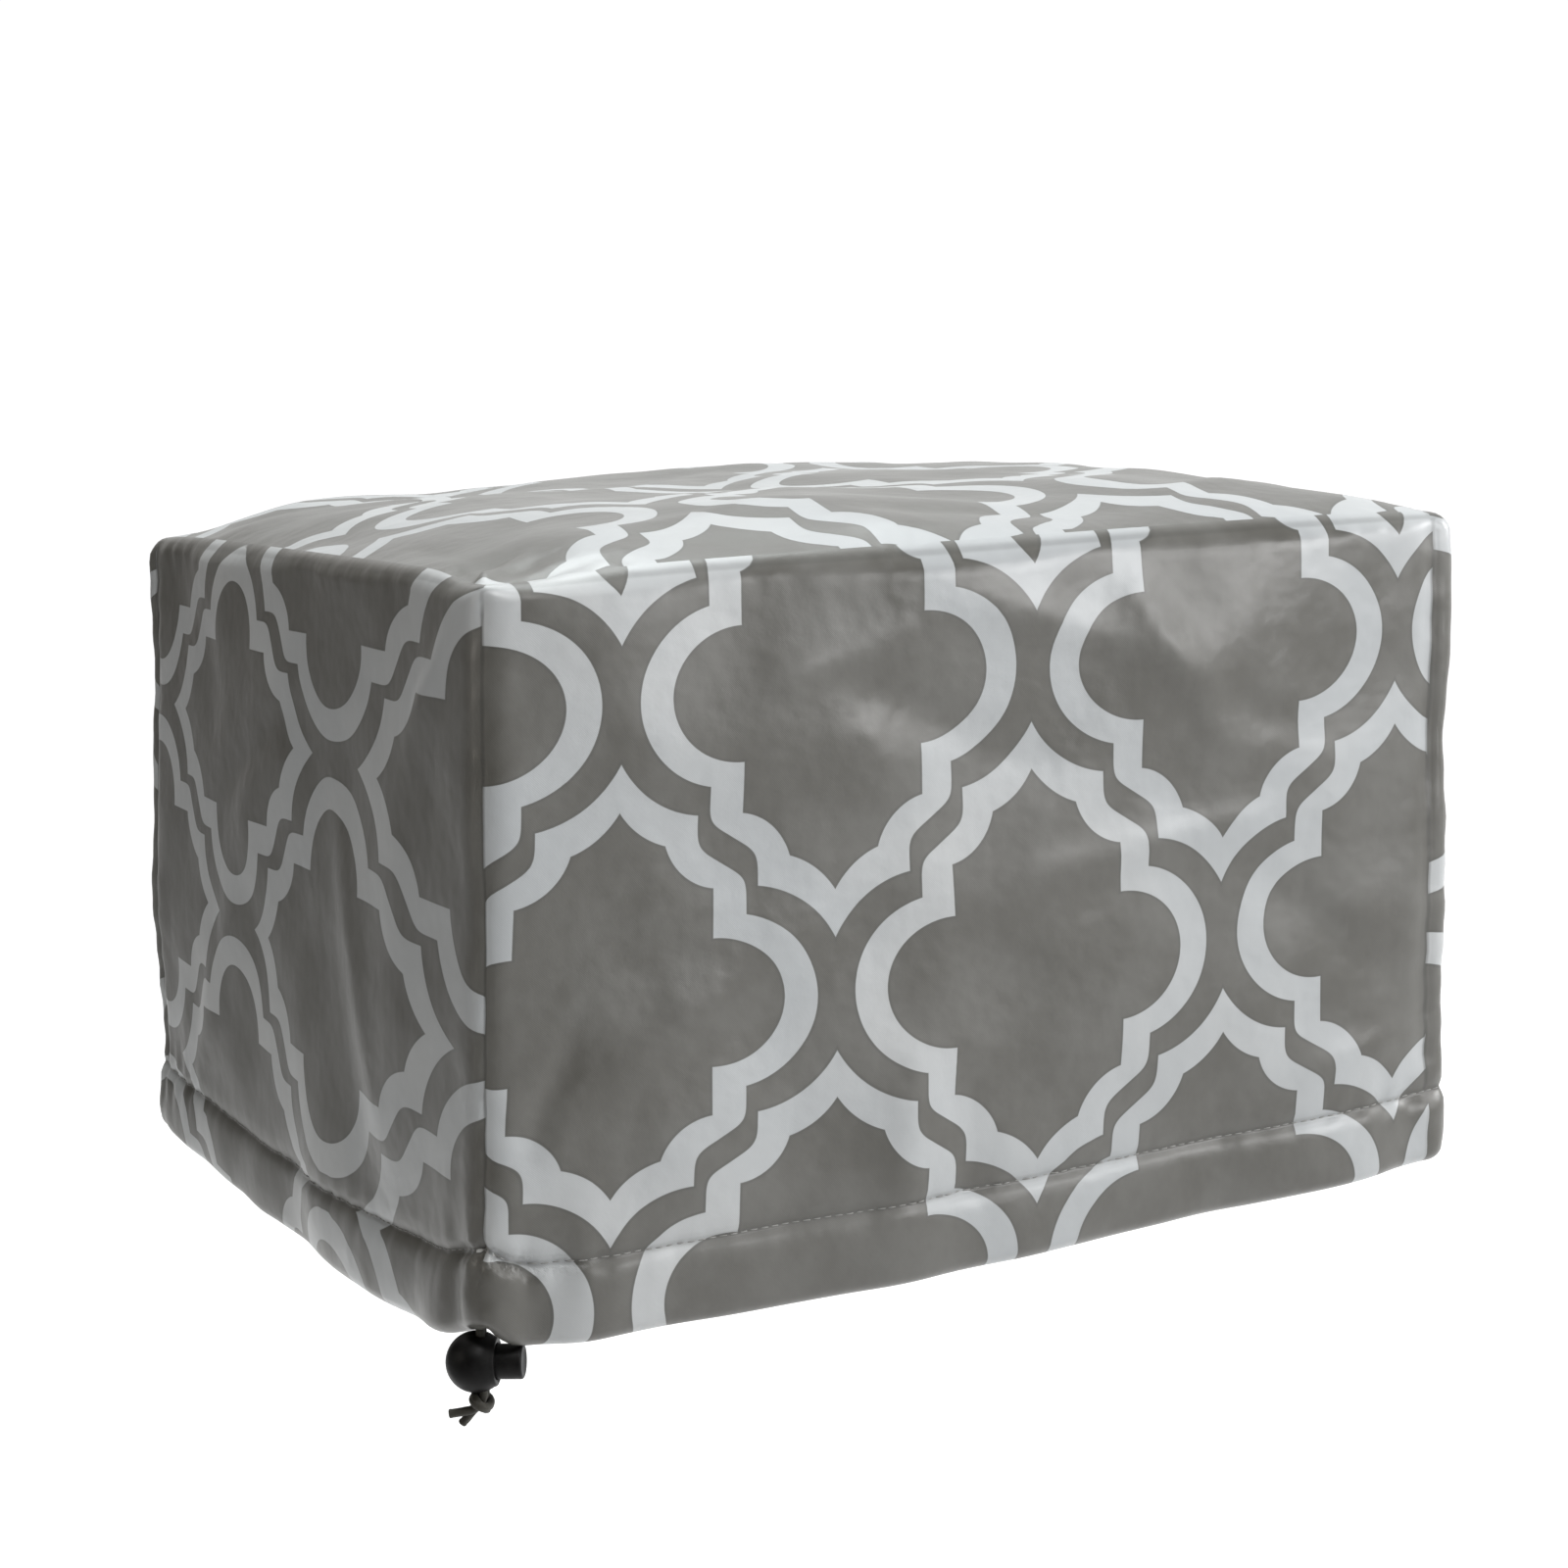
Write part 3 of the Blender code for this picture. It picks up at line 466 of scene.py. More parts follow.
def ring_levels():
    """Inset, drop and length of cloth below the top edge, for each ring down to the casing's edge."""
    levels = []
    for step in range(EDGE_STEPS + 1):
        angle = math.pi / 2 * step / EDGE_STEPS
        drop = EDGE_RADIUS * (1 - math.cos(angle))
        levels.append((EDGE_RADIUS * (1 - math.sin(angle)), drop, drop))
    even = np.linspace(EDGE_RADIUS, STITCH, WALL_ROWS)[1:-1]
    drops = [d for d in even if d < STITCH - 0.0024] + [STITCH + d for d in STITCH_ROWS]
    drops += list(np.linspace(STITCH + 0.0036, HEIGHT - HEM_CURL_RADIUS, HEM_ROWS))
    levels += [(0.0, drop, drop) for drop in drops]
    middle = (HEM_CURL_RADIUS, HEIGHT - HEM_CURL_RADIUS)
    cloth = levels[-1][2]
    for step in range(1, CURL_STEPS + 1):
        angle = HEM_CURL_ANGLE * step / CURL_STEPS
        cloth += HEM_CURL_RADIUS * HEM_CURL_ANGLE / CURL_STEPS
        drop = middle[1] + HEM_CURL_RADIUS * math.sin(angle)
        levels.append((middle[0] - HEM_CURL_RADIUS * math.cos(angle), drop, cloth))
    tight = FOLD_RADIUS
    turn = math.pi - HEM_CURL_ANGLE
    start = levels[-1]
    fold = (start[0] + tight * math.cos(HEM_CURL_ANGLE), start[1] - tight * math.sin(HEM_CURL_ANGLE))
    for step in range(1, CURL_STEPS + 1):
        angle = HEM_CURL_ANGLE + turn * step / CURL_STEPS
        cloth += tight * turn / CURL_STEPS
        levels.append((fold[0] - tight * math.cos(angle), fold[1] + tight * math.sin(angle), cloth))
    inner = levels[-1]
    for share in np.linspace(0, 1, TURNED_ROWS)[1:]:
        drop = inner[1] + (STITCH - 0.001 - inner[1]) * share
        inset = inner[0] + (TURNED_INSET - inner[0]) * share**1.5
        levels.append((inset, drop, cloth + inner[1] - drop))
    return levels


def column_shares():
    even = np.arange(COLUMNS + 1) / COLUMNS
    return even - CROWDING * np.sin(2 * math.pi * even) / (2 * math.pi)


def seam_places():
    """Where each corner seam lies round the cover, and the near one again after a full turn."""
    places = [corner * WALL_WIDTH + SEAM_SHIFT[corner] for corner in range(4)]
    return places + [4 * WALL_WIDTH + SEAM_SHIFT[NEAR]]


def ring_around():
    """Places round the cover of the columns, from seam to seam, without the last one again."""
    places = seam_places()
    shares = column_shares()[:-1]
    return np.concatenate([a + (b - a) * shares for a, b in zip(places, places[1:])])


def top_patch(rim):
    """Inner points of the top, spread between the four sides of its rim."""
    n = COLUMNS
    front, right = rim[: n + 1], rim[n : 2 * n + 1]
    back = rim[2 * n : 3 * n + 1][::-1]
    left = np.vstack((rim[3 * n :], rim[:1]))[::-1]
    shares = column_shares()
    u = shares[1:-1][None, :, None]
    v = shares[1:-1][:, None, None]
    between_ends = (1 - v) * front[None, 1:-1] + v * back[None, 1:-1]
    between_sides = (1 - u) * left[1:-1, None] + u * right[1:-1, None]
    corners = (1 - u) * (1 - v) * front[0] + u * (1 - v) * front[-1]
    corners = corners + (1 - u) * v * back[0] + u * v * back[-1]
    points = (between_ends + between_sides - corners).reshape(-1, 3)
    x, y = points[:, 0], points[:, 1]
    height = crown_height(x, y)
    rim_gap = SIDE / 2 - np.maximum(np.abs(x), np.abs(y)) - EDGE_RADIUS
    ease = np.clip(rim_gap / TOP_RIM_EASE, 0, 1)
    for crease_x, crease_y, length, width, angle, rise in TOP_CREASES:
        ridge = crease(x - crease_x, y - crease_y, math.radians(angle), length, width)
        height = height + rise * ridge * np.clip(rim_gap / 0.003, 0, 1)
    beside_x = np.abs(x) > np.abs(y)
    along = np.where(beside_x, y, x)
    height = height + pucker(along, rim_gap, EDGE_PUCKER, 0.4) * np.clip(rim_gap / 0.002, 0, 1)
    points[:, 2] = height + ripple(points) * ease
    return points


def top_index(row, column):
    """Number of a point of the top's grid, where the rim's points come first."""
    n = COLUMNS
    if row == 0:
        return column
    if column == n:
        return n + row
    if row == n:
        return 3 * n - column
    if column == 0:
        return (4 * n - row) % (4 * n)
    return None


def side_print(depth):
    """Depth of the print on a side wall, where the cloth is drawn a little out of square."""
    return np.interp(depth, SIDE_DEPTHS, PRINT_DEPTHS)


def wall_print(wall, from_seam, width, cloth):
    """Place in the print of a point of a wall, from its first seam and down the cloth."""
    if wall in LIFT_REACH:
        gap = from_seam if wall == FRONT_WALL else width - from_seam
        cloth -= CORNER_LIFT * math.exp(-((gap / LIFT_REACH[wall]) ** 2)) * min(cloth / HEIGHT, 1) ** 2
    if wall in (FRONT_WALL, BACK_WALL):
        across = from_seam + SEAM_DRAW[0] * max(0.0, 1 - from_seam / SEAM_DRAW[1]) ** 1.5
        down = cloth
        for place, drop, reach_along, reach_down, moved, sunk in PRINT_PULLS:
            near = ((from_seam - place) / reach_along) ** 2 + ((cloth - drop) / reach_down) ** 2
            across -= moved * math.exp(-near)
            down -= sunk * math.exp(-near)
        return across - FRONT_CELL[0], down - FRONT_CELL[1]
    depth = from_seam if wall == RIGHT_WALL else width - from_seam
    climb = (SIDE_CLIMB[0] + SIDE_CLIMB[1] * depth) * cloth
    return SIDE_CELL_DROP - cloth - climb, side_print(depth)


def top_print(x, y):
    across = x + SIDE / 2 - TOP_CROSSING[0] + REPEAT_LOBES / 2
    return across, y + SIDE / 2 - TOP_CROSSING[1]


def build_sheet(printed, reverse):
    """The whole cover as one sheet: four walls, the crowned top and the turned-in hem."""
    levels = ring_levels()
    around = ring_around()
    flat_rings = [wall_points(around, inset, drop) for inset, drop, _ in levels]
    rings = [
        settle(flat, np.full(len(flat), drop)) for flat, (_, drop, _) in zip(flat_rings, levels)
    ]
    flat_top = top_patch(flat_rings[0])
    inner = settle(flat_top, np.zeros(len(flat_top)))
    count = len(around)
    first_inner = count * len(rings)
    n = COLUMNS
    places = seam_places()
    shares = column_shares()
    faces, prints = [], []
    for level in range(len(rings) - 1):
        upper, lower = level * count, (level + 1) * count
        for step in range(count):
            wall, column = divmod(step, n)
            after = (step + 1) % count
            width = places[wall + 1] - places[wall]
            here, there = width * shares[column], width * shares[column + 1]
            high, low = levels[level][2], levels[level + 1][2]
            faces.append((upper + after, upper + step, lower + step, lower + after))
            for from_seam, cloth in ((there, high), (here, high), (here, low), (there, low)):
                prints.append(wall_print(wall, from_seam, width, cloth))
    flat = np.vstack((*flat_rings, flat_top))
    for row in range(n):
        for column in range(n):
            face = []
            for r, c in ((row, column), (row, column + 1), (row + 1, column + 1), (row + 1, column)):
                index = top_index(r, c)
                if index is None:
                    index = first_inner + (r - 1) * (n - 1) + c - 1
                face.append(index)
                prints.append(top_print(flat[index, 0], flat[index, 1]))
            faces.append(tuple(face))
    mesh = bpy.data.meshes.new("printed_cover")
    mesh.from_pydata([tuple(p) for p in np.vstack((*rings, inner))], [], faces)
    mesh.uv_layers.new(name="print").data.foreach_set("uv", np.array(prints, np.float32).ravel())
    add_gaps(mesh, around, levels, flat_top)
    mesh.shade_smooth()
    mesh.materials.append(printed)
    mesh.materials.append(reverse)
    cover = place_object("printed_cover", mesh)
    thickness = cover.modifiers.new("thickness", "SOLIDIFY")
    thickness.thickness = CLOTH
    thickness.offset = -1
    thickness.material_offset = 1
    thickness.use_rim = True
    return cover


def add_gaps(mesh, around, levels, flat_top):
    """Stores each point's distance from the seams and the stitches, how dark its seam's painted shade is,
    and how bunched it is, for the painted shade there.
    """
    places = np.array(seam_places())
    beside = np.abs(around[:, None] - places[None, :]).min(axis=1)
    near = np.minimum(around, 4 * WALL_WIDTH - around)
    tucked = bump(near / NEAR_TUCK[3])
    seams, stitches, seam_shade_weights, tucks = [], [], [], []
    top_seam = EDGE_RADIUS * (1 - math.cos(math.pi / 2 * 2 / EDGE_STEPS))
    for _, drop, cloth in levels:
        seams.append(np.minimum(beside, abs(cloth - top_seam) * 1.6))
        stitches.append(np.full(len(around), abs(cloth - STITCH)))
        # How dark the painted seam shade is: fainter at the top edge, full down the walls, faintest on
        # the hem
        seam_shade_weights.append(np.full(len(around), 0.45 if cloth < 0.006 else 1.0 if cloth < STITCH else 0.25))
        tucks.append(tucked * bump((cloth - STITCH - 0.0006) / 0.0026))
    rim_gap = SIDE / 2 - np.abs(flat_top[:, :2]).max(axis=1)
    seams.append(rim_gap)
    stitches.append(np.full(len(flat_top), 1.0))
    seam_shade_weights.append(np.full(len(flat_top), 0.45))
    tucks.append(np.zeros(len(flat_top)))
    stored = {"seam_gap": seams, "stitch_gap": stitches, "seam_shade_weight": seam_shade_weights, "tuck": tucks}
    for name, values in stored.items():
        layer = mesh.attributes.new(name, "FLOAT", "POINT")
        layer.data.foreach_set("value", np.concatenate(values).astype(np.float32))


def join_rings(shape, rings):
    """Faces between each ring of points and the next."""
    sides = len(rings[0])
    for a, b in zip(rings, rings[1:]):
        for k in range(sides):
            after = (k + 1) % sides
            shape.faces.new((a[k], a[after], b[after], b[k]))


def place_object(name, data):
    thing = bpy.data.objects.new(name, data)
    bpy.context.scene.collection.objects.link(thing)
    return thing


def build_stitches(material):
    """The line of thread that holds the hem, each stitch a short plump stroke."""
    total = 4 * WALL_WIDTH
    count = round(total / STITCH_PITCH)
    middles = (np.arange(count) + 0.5) * total / count
    drop = np.full(count, STITCH)
    before = surface(middles - STITCH_LENGTH / 2, 0.0, drop)
    after = surface(middles + STITCH_LENGTH / 2, 0.0, drop)
    above = surface(middles, 0.0, drop - 0.0008)
    below = surface(middles, 0.0, drop + 0.0008)
    shape = bmesh.new()
    sides = 6
    profile = ((0.0, 0.25), (0.14, 0.85), (0.5, 1.0), (0.86, 0.85), (1.0, 0.25))
    for start, end, high, low in zip(before, after, above, below):
        run = Vector(end - start)
        upright = Vector(high - low).normalized()
        out = run.normalized().cross(upright).normalized()
        rings = []
        for share, size in profile:
            lift = STITCH_RADIUS * (0.9 * math.sin(math.pi * share) - 0.35)
            middle = Vector(start) + run * share + out * lift
            ring = []
            for k in range(sides):
                angle = 2 * math.pi * k / sides
                offset = (out * math.cos(angle) + upright * math.sin(angle)) * STITCH_RADIUS * size
                ring.append(shape.verts.new(middle + offset))
            rings.append(ring)
        join_rings(shape, rings)
        shape.faces.new(rings[0][::-1])
        shape.faces.new(rings[-1])
    bmesh.ops.recalc_face_normals(shape, faces=shape.faces)
    return finish_mesh("hem_stitches", shape, material)


def finish_mesh(name, shape, material):
    mesh = bpy.data.meshes.new(name)
    shape.to_mesh(mesh)
    shape.free()
    mesh.shade_smooth()
    mesh.materials.append(material)
    return place_object(name, mesh)


def near_hem_level():
    """Height of the hem's foot over the cord lock, on the part's own plainer cloth."""
    lock_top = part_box("cord_lock_body")[1][2]
    return lock_top + LOCK_BELOW_HEM


def lock_frame():
    """From the lock's own axes, X along the button, to the cover's."""
    centre = Vector((*LOCK_PLACE, near_hem_level() - LOCK_BELOW_HEM - BALL_RADIUS))
    return Matrix.Translation(centre) @ Matrix.Rotation(LOCK_TURN, 4, "Z")


def revolve(name, profile, segments, material):
    """A closed solid turned about its X axis from (x, radius) pairs, with both ends on it."""
    shape = bmesh.new()
    chain = [shape.verts.new((x, 0.0, radius)) for x, radius in profile]
    edges = [shape.edges.new(pair) for pair in zip(chain, chain[1:])]
    bmesh.ops.spin(
        shape,
        geom=chain + edges,
        axis=(1, 0, 0),
        cent=(0, 0, 0),
        angle=2 * math.pi,
        steps=segments,
        use_merge=True,
    )
    bmesh.ops.remove_doubles(shape, verts=shape.verts, dist=1e-6)
    bmesh.ops.recalc_face_normals(shape, faces=shape.faces)
    return finish_mesh(name, shape, material)


def slot_cutter(travel, ball_or_button_radius, material):
    """An upright slot that clears both strands, and the button's travel past them."""
    half_gap = CORD_DIAMETER / 2 + CORD_GAP
    low, high = CORD_HOLE_AT - half_gap, CORD_HOLE_AT + half_gap + travel
    half_width = STRAND_OFFSET + half_gap
    half_height = ball_or_button_radius + 0.002
    corner = SLOT_CORNER
    middle = (low + high) / 2
    shape = bmesh.new()
    points = []
    for sign_x, sign_y, first in ((1, 1, 0), (-1, 1, 90), (-1, -1, 180), (1, -1, 270)):
        for step in range(7):
            angle = math.radians(first + 15 * step)
            x = middle + sign_x * ((high - low) / 2 - corner) + corner * math.cos(angle)
            y = sign_y * (half_width - corner) + corner * math.sin(angle)
            points.append((x, y))
    rings = [[shape.verts.new((x, y, z)) for x, y in points] for z in (-half_height, half_height)]
    shape.faces.new(rings[0][::-1])
    shape.faces.new(rings[1])
    join_rings(shape, rings)
    bmesh.ops.recalc_face_normals(shape, faces=shape.faces)
    return finish_mesh("slot_cutter", shape, material)


def cut(target, *cutters):
    """Cuts the solids from the target for good, and removes them."""
    for cutter in cutters:
        modifier = target.modifiers.new("cut", "BOOLEAN")
        modifier.object = cutter
        modifier.operation = "DIFFERENCE"
        modifier.solver = "EXACT"
    graph = bpy.context.evaluated_depsgraph_get()
    mesh = bpy.data.meshes.new_from_object(target.evaluated_get(graph))
    target.modifiers.clear()
    target.data = mesh
    mesh.shade_smooth()
    mesh.set_sharp_from_angle(angle=math.radians(LOCK_SHARP))
    for cutter in cutters:
        bpy.data.objects.remove(cutter, do_unlink=True)


def arc(middle, radius, first, last, steps):
    """Points (x, r) on a circle, by angle in degrees from +X."""
    points = []
    for step in range(steps + 1):
        angle = math.radians(first + (last - first) * step / steps)
        points.append((middle[0] + radius * math.cos(angle), middle[1] + radius * math.sin(angle)))
    return points


def build_lock_body(material):
    """The moulded ball, with a soft rim round its flat side, a bore and the cord's slot."""
    round_edge = 0.0009
    reach = math.degrees(math.acos((BALL_FLAT_AT - 0.0011) / BALL_RADIUS))
    rim_middle = (BALL_FLAT_AT - round_edge, BALL_FLAT_RADIUS - round_edge + 0.0001)
    profile = [(-BALL_RADIUS, 0.0)] + arc((0, 0), BALL_RADIUS, 176, reach, 40)
    profile += arc(rim_middle, round_edge, 52, 0, 6)
    lip = BORE_RADIUS + 0.0003
    inside = BALL_FLAT_AT - 0.0002
    profile += [(BALL_FLAT_AT, lip + 0.0002), (inside, lip), (inside, 0.0)]
    body = revolve("cord_lock_ball", profile, 96, material)
    bore = [(BORE_INNER_END, 0.0), (BORE_INNER_END, BORE_RADIUS), (0.01, BORE_RADIUS), (0.01, 0.0)]
    bore = revolve("bore_cutter", bore, 64, material)
    cut(body, bore, slot_cutter(0.0, BALL_RADIUS, material))
    body.matrix_world = lock_frame()
    return body


def build_lock_button(material):
    """The push button, with a rounded rim, a dished end and a slot that clears the cord."""
    end = BALL_FLAT_AT + BUTTON_PROUD
    rim = 0.0008
    profile = [(BUTTON_INNER_END, 0.0), (BUTTON_INNER_END, BUTTON_RADIUS - 0.0004)]
    profile += [(BUTTON_INNER_END + 0.0004, BUTTON_RADIUS), (BALL_FLAT_AT + 0.0001, BUTTON_RADIUS)]
    profile += arc((end - rim, BUTTON_RADIUS - rim), rim, 90, 0, 6)
    profile += [(end, BUTTON_RADIUS - 0.0013), (end - 0.00015, BUTTON_RADIUS - 0.0018)]
    profile += [(end - 0.00035, BUTTON_RADIUS * 0.3), (end - 0.0004, 0.0)]
    button = revolve("cord_lock_push_button", profile, 96, material)
    cut(button, slot_cutter(BUTTON_TRAVEL, BUTTON_RADIUS, material))
    button.matrix_world = lock_frame()
    return button


def strand_start(tail):
    """Upper end of a strand, inside the hem, in the cover's axes."""
    place = lock_frame() @ Vector((CORD_HOLE_AT, tail["side"] * STRAND_OFFSET, 0.0))
    return Vector((place.x, place.y, near_hem_level() + OUTLET_HOLE_DEPTH - CORD_GAP))


def bend_point(length, turn):
    """Place and heading after a length of cord below the lock: it turns, then runs straight."""
    angle = min(length / BEND_RADIUS, turn)
    x = CORD_HOLE_AT - BEND_RADIUS * (1 - math.cos(angle))
    z = -BALL_RADIUS - BEND_RADIUS * math.sin(angle)
    beyond = max(length - BEND_RADIUS * turn, 0.0)
    x -= beyond * math.sin(angle)
    z -= beyond * math.cos(angle)
    return x, z, angle


def tail_route(tail, step):
    """One strand's centre line: down through the lock, round the bend and out to its end."""
    start = lock_frame().inverted() @ strand_start(tail)
    side = tail["side"] * STRAND_OFFSET
    fall = start.z + BALL_RADIUS
    upright = math.ceil(fall / step)
    route = [Vector((CORD_HOLE_AT, side, start.z - fall * k / upright)) for k in range(upright)]
    length = BEND_RADIUS * tail["turn"] + tail["straight"]
    steps = math.ceil(length / step)
    knot_end = KNOT_START + KNOT_LENGTH
    for k in range(steps + 1):
        travelled = length * k / steps
        x, z, _ = bend_point(travelled, tail["turn"])
        parted = max(travelled - knot_end, 0.0) / max(length - knot_end, 1e-6)
        route.append(Vector((x, side + tail["side"] * tail["spread"] * parted, z)))
    return [lock_frame() @ point for point in route]


def braided_tube(name, route, radius, material, cut_end=True):
    """A round braid: a tube whose face rises and falls where its bundles of thread cross."""
    sides = 40
    bundles = 5
    pitch = 2.3 * radius * 2
    shape = bmesh.new()
    points = [Vector(p) for p in route]
    upright = Vector((0.31, 0.42, 0.85)).normalized()
    rings = []
    travelled = 0.0
    for k, point in enumerate(points):
        run = points[min(k + 1, len(points) - 1)] - points[max(k - 1, 0)]
        run.normalize()
        side = run.cross(upright)
        if side.length < 0.2:
            side = run.cross(Vector((1, 0, 0)))
        side.normalize()
        if rings:
            side = (last_side - run * last_side.dot(run)).normalized()
        last_side = side
        across = run.cross(side).normalized()
        if k:
            travelled += (point - points[k - 1]).length
        ring = []
        for step in range(sides):
            angle = 2 * math.pi * step / sides
            right = math.cos(bundles * angle + 2 * math.pi * travelled / pitch)
            left = math.cos(bundles * angle - 2 * math.pi * travelled / pitch)
            swell = 1.0 + 0.035 * max(right, left) + 0.02 * right * left
            fray = 1.0
            if cut_end and k > len(points) - 5:
                fray = (1.03, 1.05, 1.02, 0.92)[k - len(points) + 4]
            offset = (side * math.cos(angle) + across * math.sin(angle)) * radius * 0.955 * swell * fray
            ring.append(shape.verts.new(point + offset))
        rings.append(ring)
    join_rings(shape, rings)
    for ring, sign in ((rings[0], -1), (rings[-1], 1)):
        middle = sum((v.co for v in ring), Vector()) / sides
        tip = shape.verts.new(middle)
        for k in range(sides):
            shape.faces.new((ring[k], ring[(k + 1) % sides], tip)[::sign])
    bmesh.ops.recalc_face_normals(shape, faces=shape.faces)
    return finish_mesh(name, shape, material)


def build_strand(number, tail, material):
    route = tail_route(tail, 0.00022)
    strand = braided_tube(f"braided_strand_{number}", route, CORD_DIAMETER / 2, material)
    return strand, route


def build_knot(material):
    """Two turns of the cord drawn tight round both strands, crossing over themselves."""
    wrap_radius = 0.00125
    turns = 2.15
    steps = 170
    half_wide = CORD_DIAMETER / 2 + wrap_radius * 0.95
    half_deep = STRAND_OFFSET + CORD_DIAMETER / 2 + wrap_radius * 0.80
    route = []
    for k in range(steps + 1):
        share = k / steps
        phase = 2 * math.pi * turns * share + 0.6
        run = KNOT_START + wrap_radius + (KNOT_LENGTH - 2 * wrap_radius) * share
        run += 0.00042 * math.sin(phase * 1.5)
        x, z, angle = bend_point(run, KNOT_TURN)
        middle = Vector((x, 0.0, z))
        across = Vector((math.cos(angle), 0.0, -math.sin(angle)))
        tuck = 1 - 0.16 * (bump(share / 0.05) + bump((1 - share) / 0.05))
        reach = across * half_wide * tuck * math.cos(phase)
        route.append(lock_frame() @ (middle + reach + Vector((0, half_deep * tuck * math.sin(phase), 0))))
    return braided_tube("tied_knot", route, wrap_radius, material, cut_end=False)


class Nodes:
    """A material's node tree, with short calls for the sums its pattern is made of."""

    def __init__(self, tree):
        self.tree = tree

    def add(self, kind, **settings):
        node = self.tree.nodes.new(kind)
        for name, value in settings.items():
            setattr(node, name, value)
        return node

    def put(self, socket, value):
        if isinstance(value, bpy.types.NodeSocket):
            self.tree.links.new(value, socket)
        else:
            socket.default_value = value

    def math(self, operation, *values):
        node = self.add("ShaderNodeMath", operation=operation)
        for socket, value in zip(node.inputs, values):
            self.put(socket, value)
        return node.outputs[0]

    def ramp(self, value, low, high, start=0.0, end=1.0, smooth=True):
        kind = "SMOOTHSTEP" if smooth else "LINEAR"
        node = self.add("ShaderNodeMapRange", interpolation_type=kind)
        for name, amount in zip(
            ("Value", "From Min", "From Max", "To Min", "To Max"), (value, low, high, start, end)
        ):
            self.put(node.inputs[name], amount)
        return node.outputs["Result"]

    def mix(self, factor, first, second):
        node = self.add("ShaderNodeMix", data_type="RGBA")
        self.put(node.inputs["Factor"], factor)
        self.put(node.inputs[6], first)
        self.put(node.inputs[7], second)
        return node.outputs[2]

    def far(self, point, x, y):
        """Distance of the point from a fixed place of the pattern."""
        node = self.add("ShaderNodeVectorMath", operation="DISTANCE")
        self.put(node.inputs[0], point)
        node.inputs[1].default_value = (x, y, 0.0)
        return node.outputs["Value"]

    def split(self, vector):
        """The X, Y and Z of a vector."""
        node = self.add("ShaderNodeSeparateXYZ")
        self.put(node.inputs[0], vector)
        return node.outputs

    def stored(self, name):
        """A value that the mesh stores at its points."""
        return self.add("ShaderNodeAttribute", attribute_name=name).outputs["Fac"]

    def noise(self, place, scale, detail=2.0, rough=0.5):
        node = self.add("ShaderNodeTexNoise")
        self.put(node.inputs["Vector"], place)
        node.inputs["Scale"].default_value = scale
        node.inputs["Detail"].default_value = detail
        node.inputs["Roughness"].default_value = rough
        return node.outputs["Fac"]

    def raised(self, height, distance, strength, under=None):
        node = self.add("ShaderNodeBump")
        node.inputs["Strength"].default_value = strength
        node.inputs["Distance"].default_value = distance
        self.put(node.inputs["Height"], height)
        if under is not None:
            self.put(node.inputs["Normal"], under)
        return node.outputs["Normal"]


def new_material(name):
    """A material, its nodes, its shader, and the place on the object that it is worked out from."""
    material = bpy.data.materials.new(name)
    material.use_nodes = True
    nodes = Nodes(material.node_tree)
    place = nodes.add("ShaderNodeTexCoord").outputs["Object"]
    return material, nodes, material.node_tree.nodes["Principled BSDF"], place


def dress(n, shader, colour, rough, normal):
    for name, value in (("Base Color", colour), ("Roughness", rough), ("Normal", normal)):
        n.put(shader.inputs[name], value)


def oval(n, across, along, lobe):
    """How far a point is outside a lobe that is narrower along the print than across it."""
    centre, narrowing, size = lobe
    away = n.math("SUBTRACT", across, centre)
    up = n.math("MULTIPLY", along, narrowing)
    squares = n.math("ADD", n.math("MULTIPLY", away, away), n.math("MULTIPLY", up, up))
    return n.math("SUBTRACT", n.math("POWER", squares, 0.5), size)


def hollow(n, point, round_place):
    """How far a point is inside a circle that bites into the cell."""
    x, y, radius = round_place
    return n.math("SUBTRACT", radius, n.far(point, x, y))


def cell_edges(n, across, along):
    """Signed distances, in centimetres, from one lattice cell's inner and outer edges."""
    join = n.add("ShaderNodeCombineXYZ")
    n.put(join.inputs[0], across)
    n.put(join.inputs[1], along)
    point = join.outputs[0]
    middle = n.math("SUBTRACT", across, INNER_SIDE)
    middle = n.math("MAXIMUM", middle, hollow(n, point, INNER_STEP))
    middle = n.math("MAXIMUM", middle, hollow(n, point, INNER_TIP))
    inner = n.math("MINIMUM", middle, oval(n, across, along, INNER_LOBE))
    lobe = oval(n, across, along, OUTER_LOBE)
    slope = n.math("MULTIPLY", across, OUTER_SLOPE[0])
    slope = n.math("ADD", slope, n.math("MULTIPLY", along, OUTER_SLOPE[1]))
    slope = n.math("SUBTRACT", slope, OUTER_SLOPE[2])
    neck = n.math("SMOOTH_MAX", n.math("SUBTRACT", across, OUTER_SIDE), slope, SHOULDER_SOFT)
    tip = n.math("SUBTRACT", across, OUTER_TIP_SIDE)
    tip = n.math("MAXIMUM", tip, hollow(n, point, OUTER_TIP))
    outer = n.math("MINIMUM", lobe, n.math("SMOOTH_MIN", neck, tip, TIP_SOFT))
    return inner, outer


def trellis(n):
    """Signed distance into the pale bands, in centimetres with pale below 0, and the place."""
    place = n.add("ShaderNodeUVMap", uv_map="print").outputs[0]
    split = n.split(place)
    half = (REPEAT_LOBES * 50, REPEAT_TIPS * 50)
    across = n.math("PINGPONG", n.math("MULTIPLY", split[0], 100.0), half[0])
    along = n.math("PINGPONG", n.math("MULTIPLY", split[1], 100.0), half[1])
    inner, outer = cell_edges(n, across, along)
    other = cell_edges(n, n.math("SUBTRACT", half[0], across), n.math("SUBTRACT", half[1], along))
    inner = n.math("MINIMUM", inner, other[0])
    outer = n.math("MINIMUM", outer, other[1])
    return n.math("MAXIMUM", outer, n.math("MULTIPLY", inner, -1.0)), place


